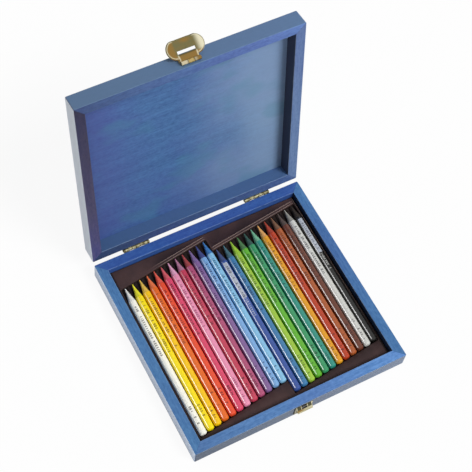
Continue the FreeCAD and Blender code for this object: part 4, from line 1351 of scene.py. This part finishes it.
def makePencilMaterial(name, colours, frontEnd, number):
    look = lacquerLook
    barrel, cone, ink = [rgb(*colour) for colour in colours]
    material, coords = newMaterial(name)
    panel = 1.0 if number in look["panelPencils"] else 0.0
    bandInputs = {"Vector": coords, "Front End": frontEnd, "Seed": number + 1.0, "Panel": panel}
    bands = placeGroup(lacquerBands, bandInputs)
    darkCone = rgb(*[int(channel * look["coneDark"]) for channel in colours[1]])
    bare = mixColour(ramp(bands["Streaks"], 0.3, 0.7), cone, darkCone)
    tick = mixColour(bands["Panel"], ink, look["panelInk"])
    inked = product(bands["Ink"], look["inkCover"])
    painted = overlaid(barrel, (bands["Panel"], look["panelTone"]), (inked, tick))
    values = {
        "Base Color": mixColour(bands["Bare"], painted, bare),
        "Roughness": ramp(bands["Bare"], 0.0, 1.0, 0.3, 0.62),
        "Specular IOR Level": 0.1,
        "Coat Weight": product(minus(1.0, bands["Bare"]), look["coat"]),
        "Coat Roughness": 0.27,
    }
    marks = product(bands["Streaks"], bands["Bare"])
    return finishMaterial(material, values, marks, 0.3, look["grainDepth"])


def makePencils():
    tree = makePencilTree()
    points = [(radius, along, 0.0) for along, radius in pencilProfile()]
    edges = [(index, index + 1) for index in range(len(points) - 1)]
    for number, ((node, frontEnd), colours) in enumerate(zip(pencils, pencilColours)):
        line = bpy.data.meshes.new(node + "Line")
        line.from_pydata(points, edges, [])
        lacquer = makePencilMaterial(node + "Lacquer", colours, frontEnd, number)
        values = {"Front End": frontEnd, "Sides": pencilShape["sides"], "Material": lacquer}
        mesh = applyTree(node + "Turned", line, tree, values)
        addPiece(node + "_turned", mesh, "root", node, lacquer)


makePencils()
print("pencils turned")


# Table, light and camera

setting = {
    "tableHalf": 3.0,
    "tableDrop": 0.05 * mm,
    "tableColour": (0.92, 0.92, 0.92, 1),
    "tableGlow": 0.92,
    "ambient": 0.34,
    "white": (1, 1, 1, 1),
}

# The key lights the colours alone, and the gleam draws the line of light on the lacquer
sunLook = {
    "key": {"strength": 2.5, "from": (0.35, -0.55, 0.76), "spread": 24.0, "hidden": "visible_glossy"},
    "gleam": {"strength": 2.3, "from": (-0.823, 0.276, 0.495), "spread": 13.0, "hidden": "visible_diffuse"},
}

cameraSetup = {
    "place": (-0.34236, -0.41998, 1.09598),
    "right": (0.87925476, -0.46862835, 0.08543153),
    "up": (0.37317927, 0.78911338, 0.48789067),
    "lens": 101.52,
    "sensor": 36.0,
}


def makeTable():
    half = setting["tableHalf"]
    mesh = bpy.data.meshes.new("table")
    corners = [(-half, -half, 0), (half, -half, 0), (half, half, 0), (-half, half, 0)]
    mesh.from_pydata(corners, [], [(0, 1, 2, 3)])
    table = addObject("table", mesh)
    table.location.z = -setting["tableDrop"]
    material = bpy.data.materials.new("paleTable")
    material.use_nodes = True
    tree = material.node_tree
    tree.nodes.remove(tree.nodes["Principled BSDF"])
    rays = tree.nodes.new("ShaderNodeLightPath").outputs
    matt = addNode("ShaderNodeBsdfDiffuse", {"Color": setting["tableColour"]}, tree)
    glow = addNode("ShaderNodeEmission", {"Color": setting["white"], "Strength": 1.0}, tree)
    seen = product(rays["Is Camera Ray"], setting["tableGlow"])
    mixed = addNode("ShaderNodeMixShader", {0: seen, 1: matt.outputs[0], 2: glow.outputs[0]})
    feed(tree.nodes["Material Output"], {"Surface": mixed.outputs[0]})
    paint(mesh, material)


def makeWorld():
    world = bpy.data.worlds.new("studio")
    scene.world = world
    world.use_nodes = True
    nodes = world.node_tree.nodes
    rays = nodes.new("ShaderNodeLightPath").outputs
    shown = maths("MAXIMUM", rays["Is Camera Ray"], rays["Is Glossy Ray"])
    shown = maths("MAXIMUM", shown, rays["Is Transmission Ray"])
    strength = ramp(shown, 0.0, 1.0, setting["ambient"], 1.0, eased=False)
    feed(nodes["Background"], {"Color": setting["white"], "Strength": strength})


def makeLights():
    for name, look in sunLook.items():
        sun = bpy.data.lights.new(name, "SUN")
        sun.energy = look["strength"]
        sun.angle = math.radians(look["spread"])
        lamp = addObject(name, sun)
        lamp.rotation_euler = Vector(look["from"]).to_track_quat("Z", "Y").to_euler()
        setattr(lamp, look["hidden"], False)


def makeCamera():
    data = bpy.data.cameras.new("camera")
    data.lens = cameraSetup["lens"]
    data.sensor_width = cameraSetup["sensor"]
    camera = addObject("camera", data)
    right, up = Vector(cameraSetup["right"]), Vector(cameraSetup["up"])
    turn = Matrix((right, up, right.cross(up))).transposed().to_4x4()
    camera.matrix_world = Matrix.Translation(cameraSetup["place"]) @ turn
    scene.camera = camera


makeTable()
makeWorld()
makeLights()
makeCamera()
scene.view_settings.view_transform = "Standard"
print("table, light and camera set")
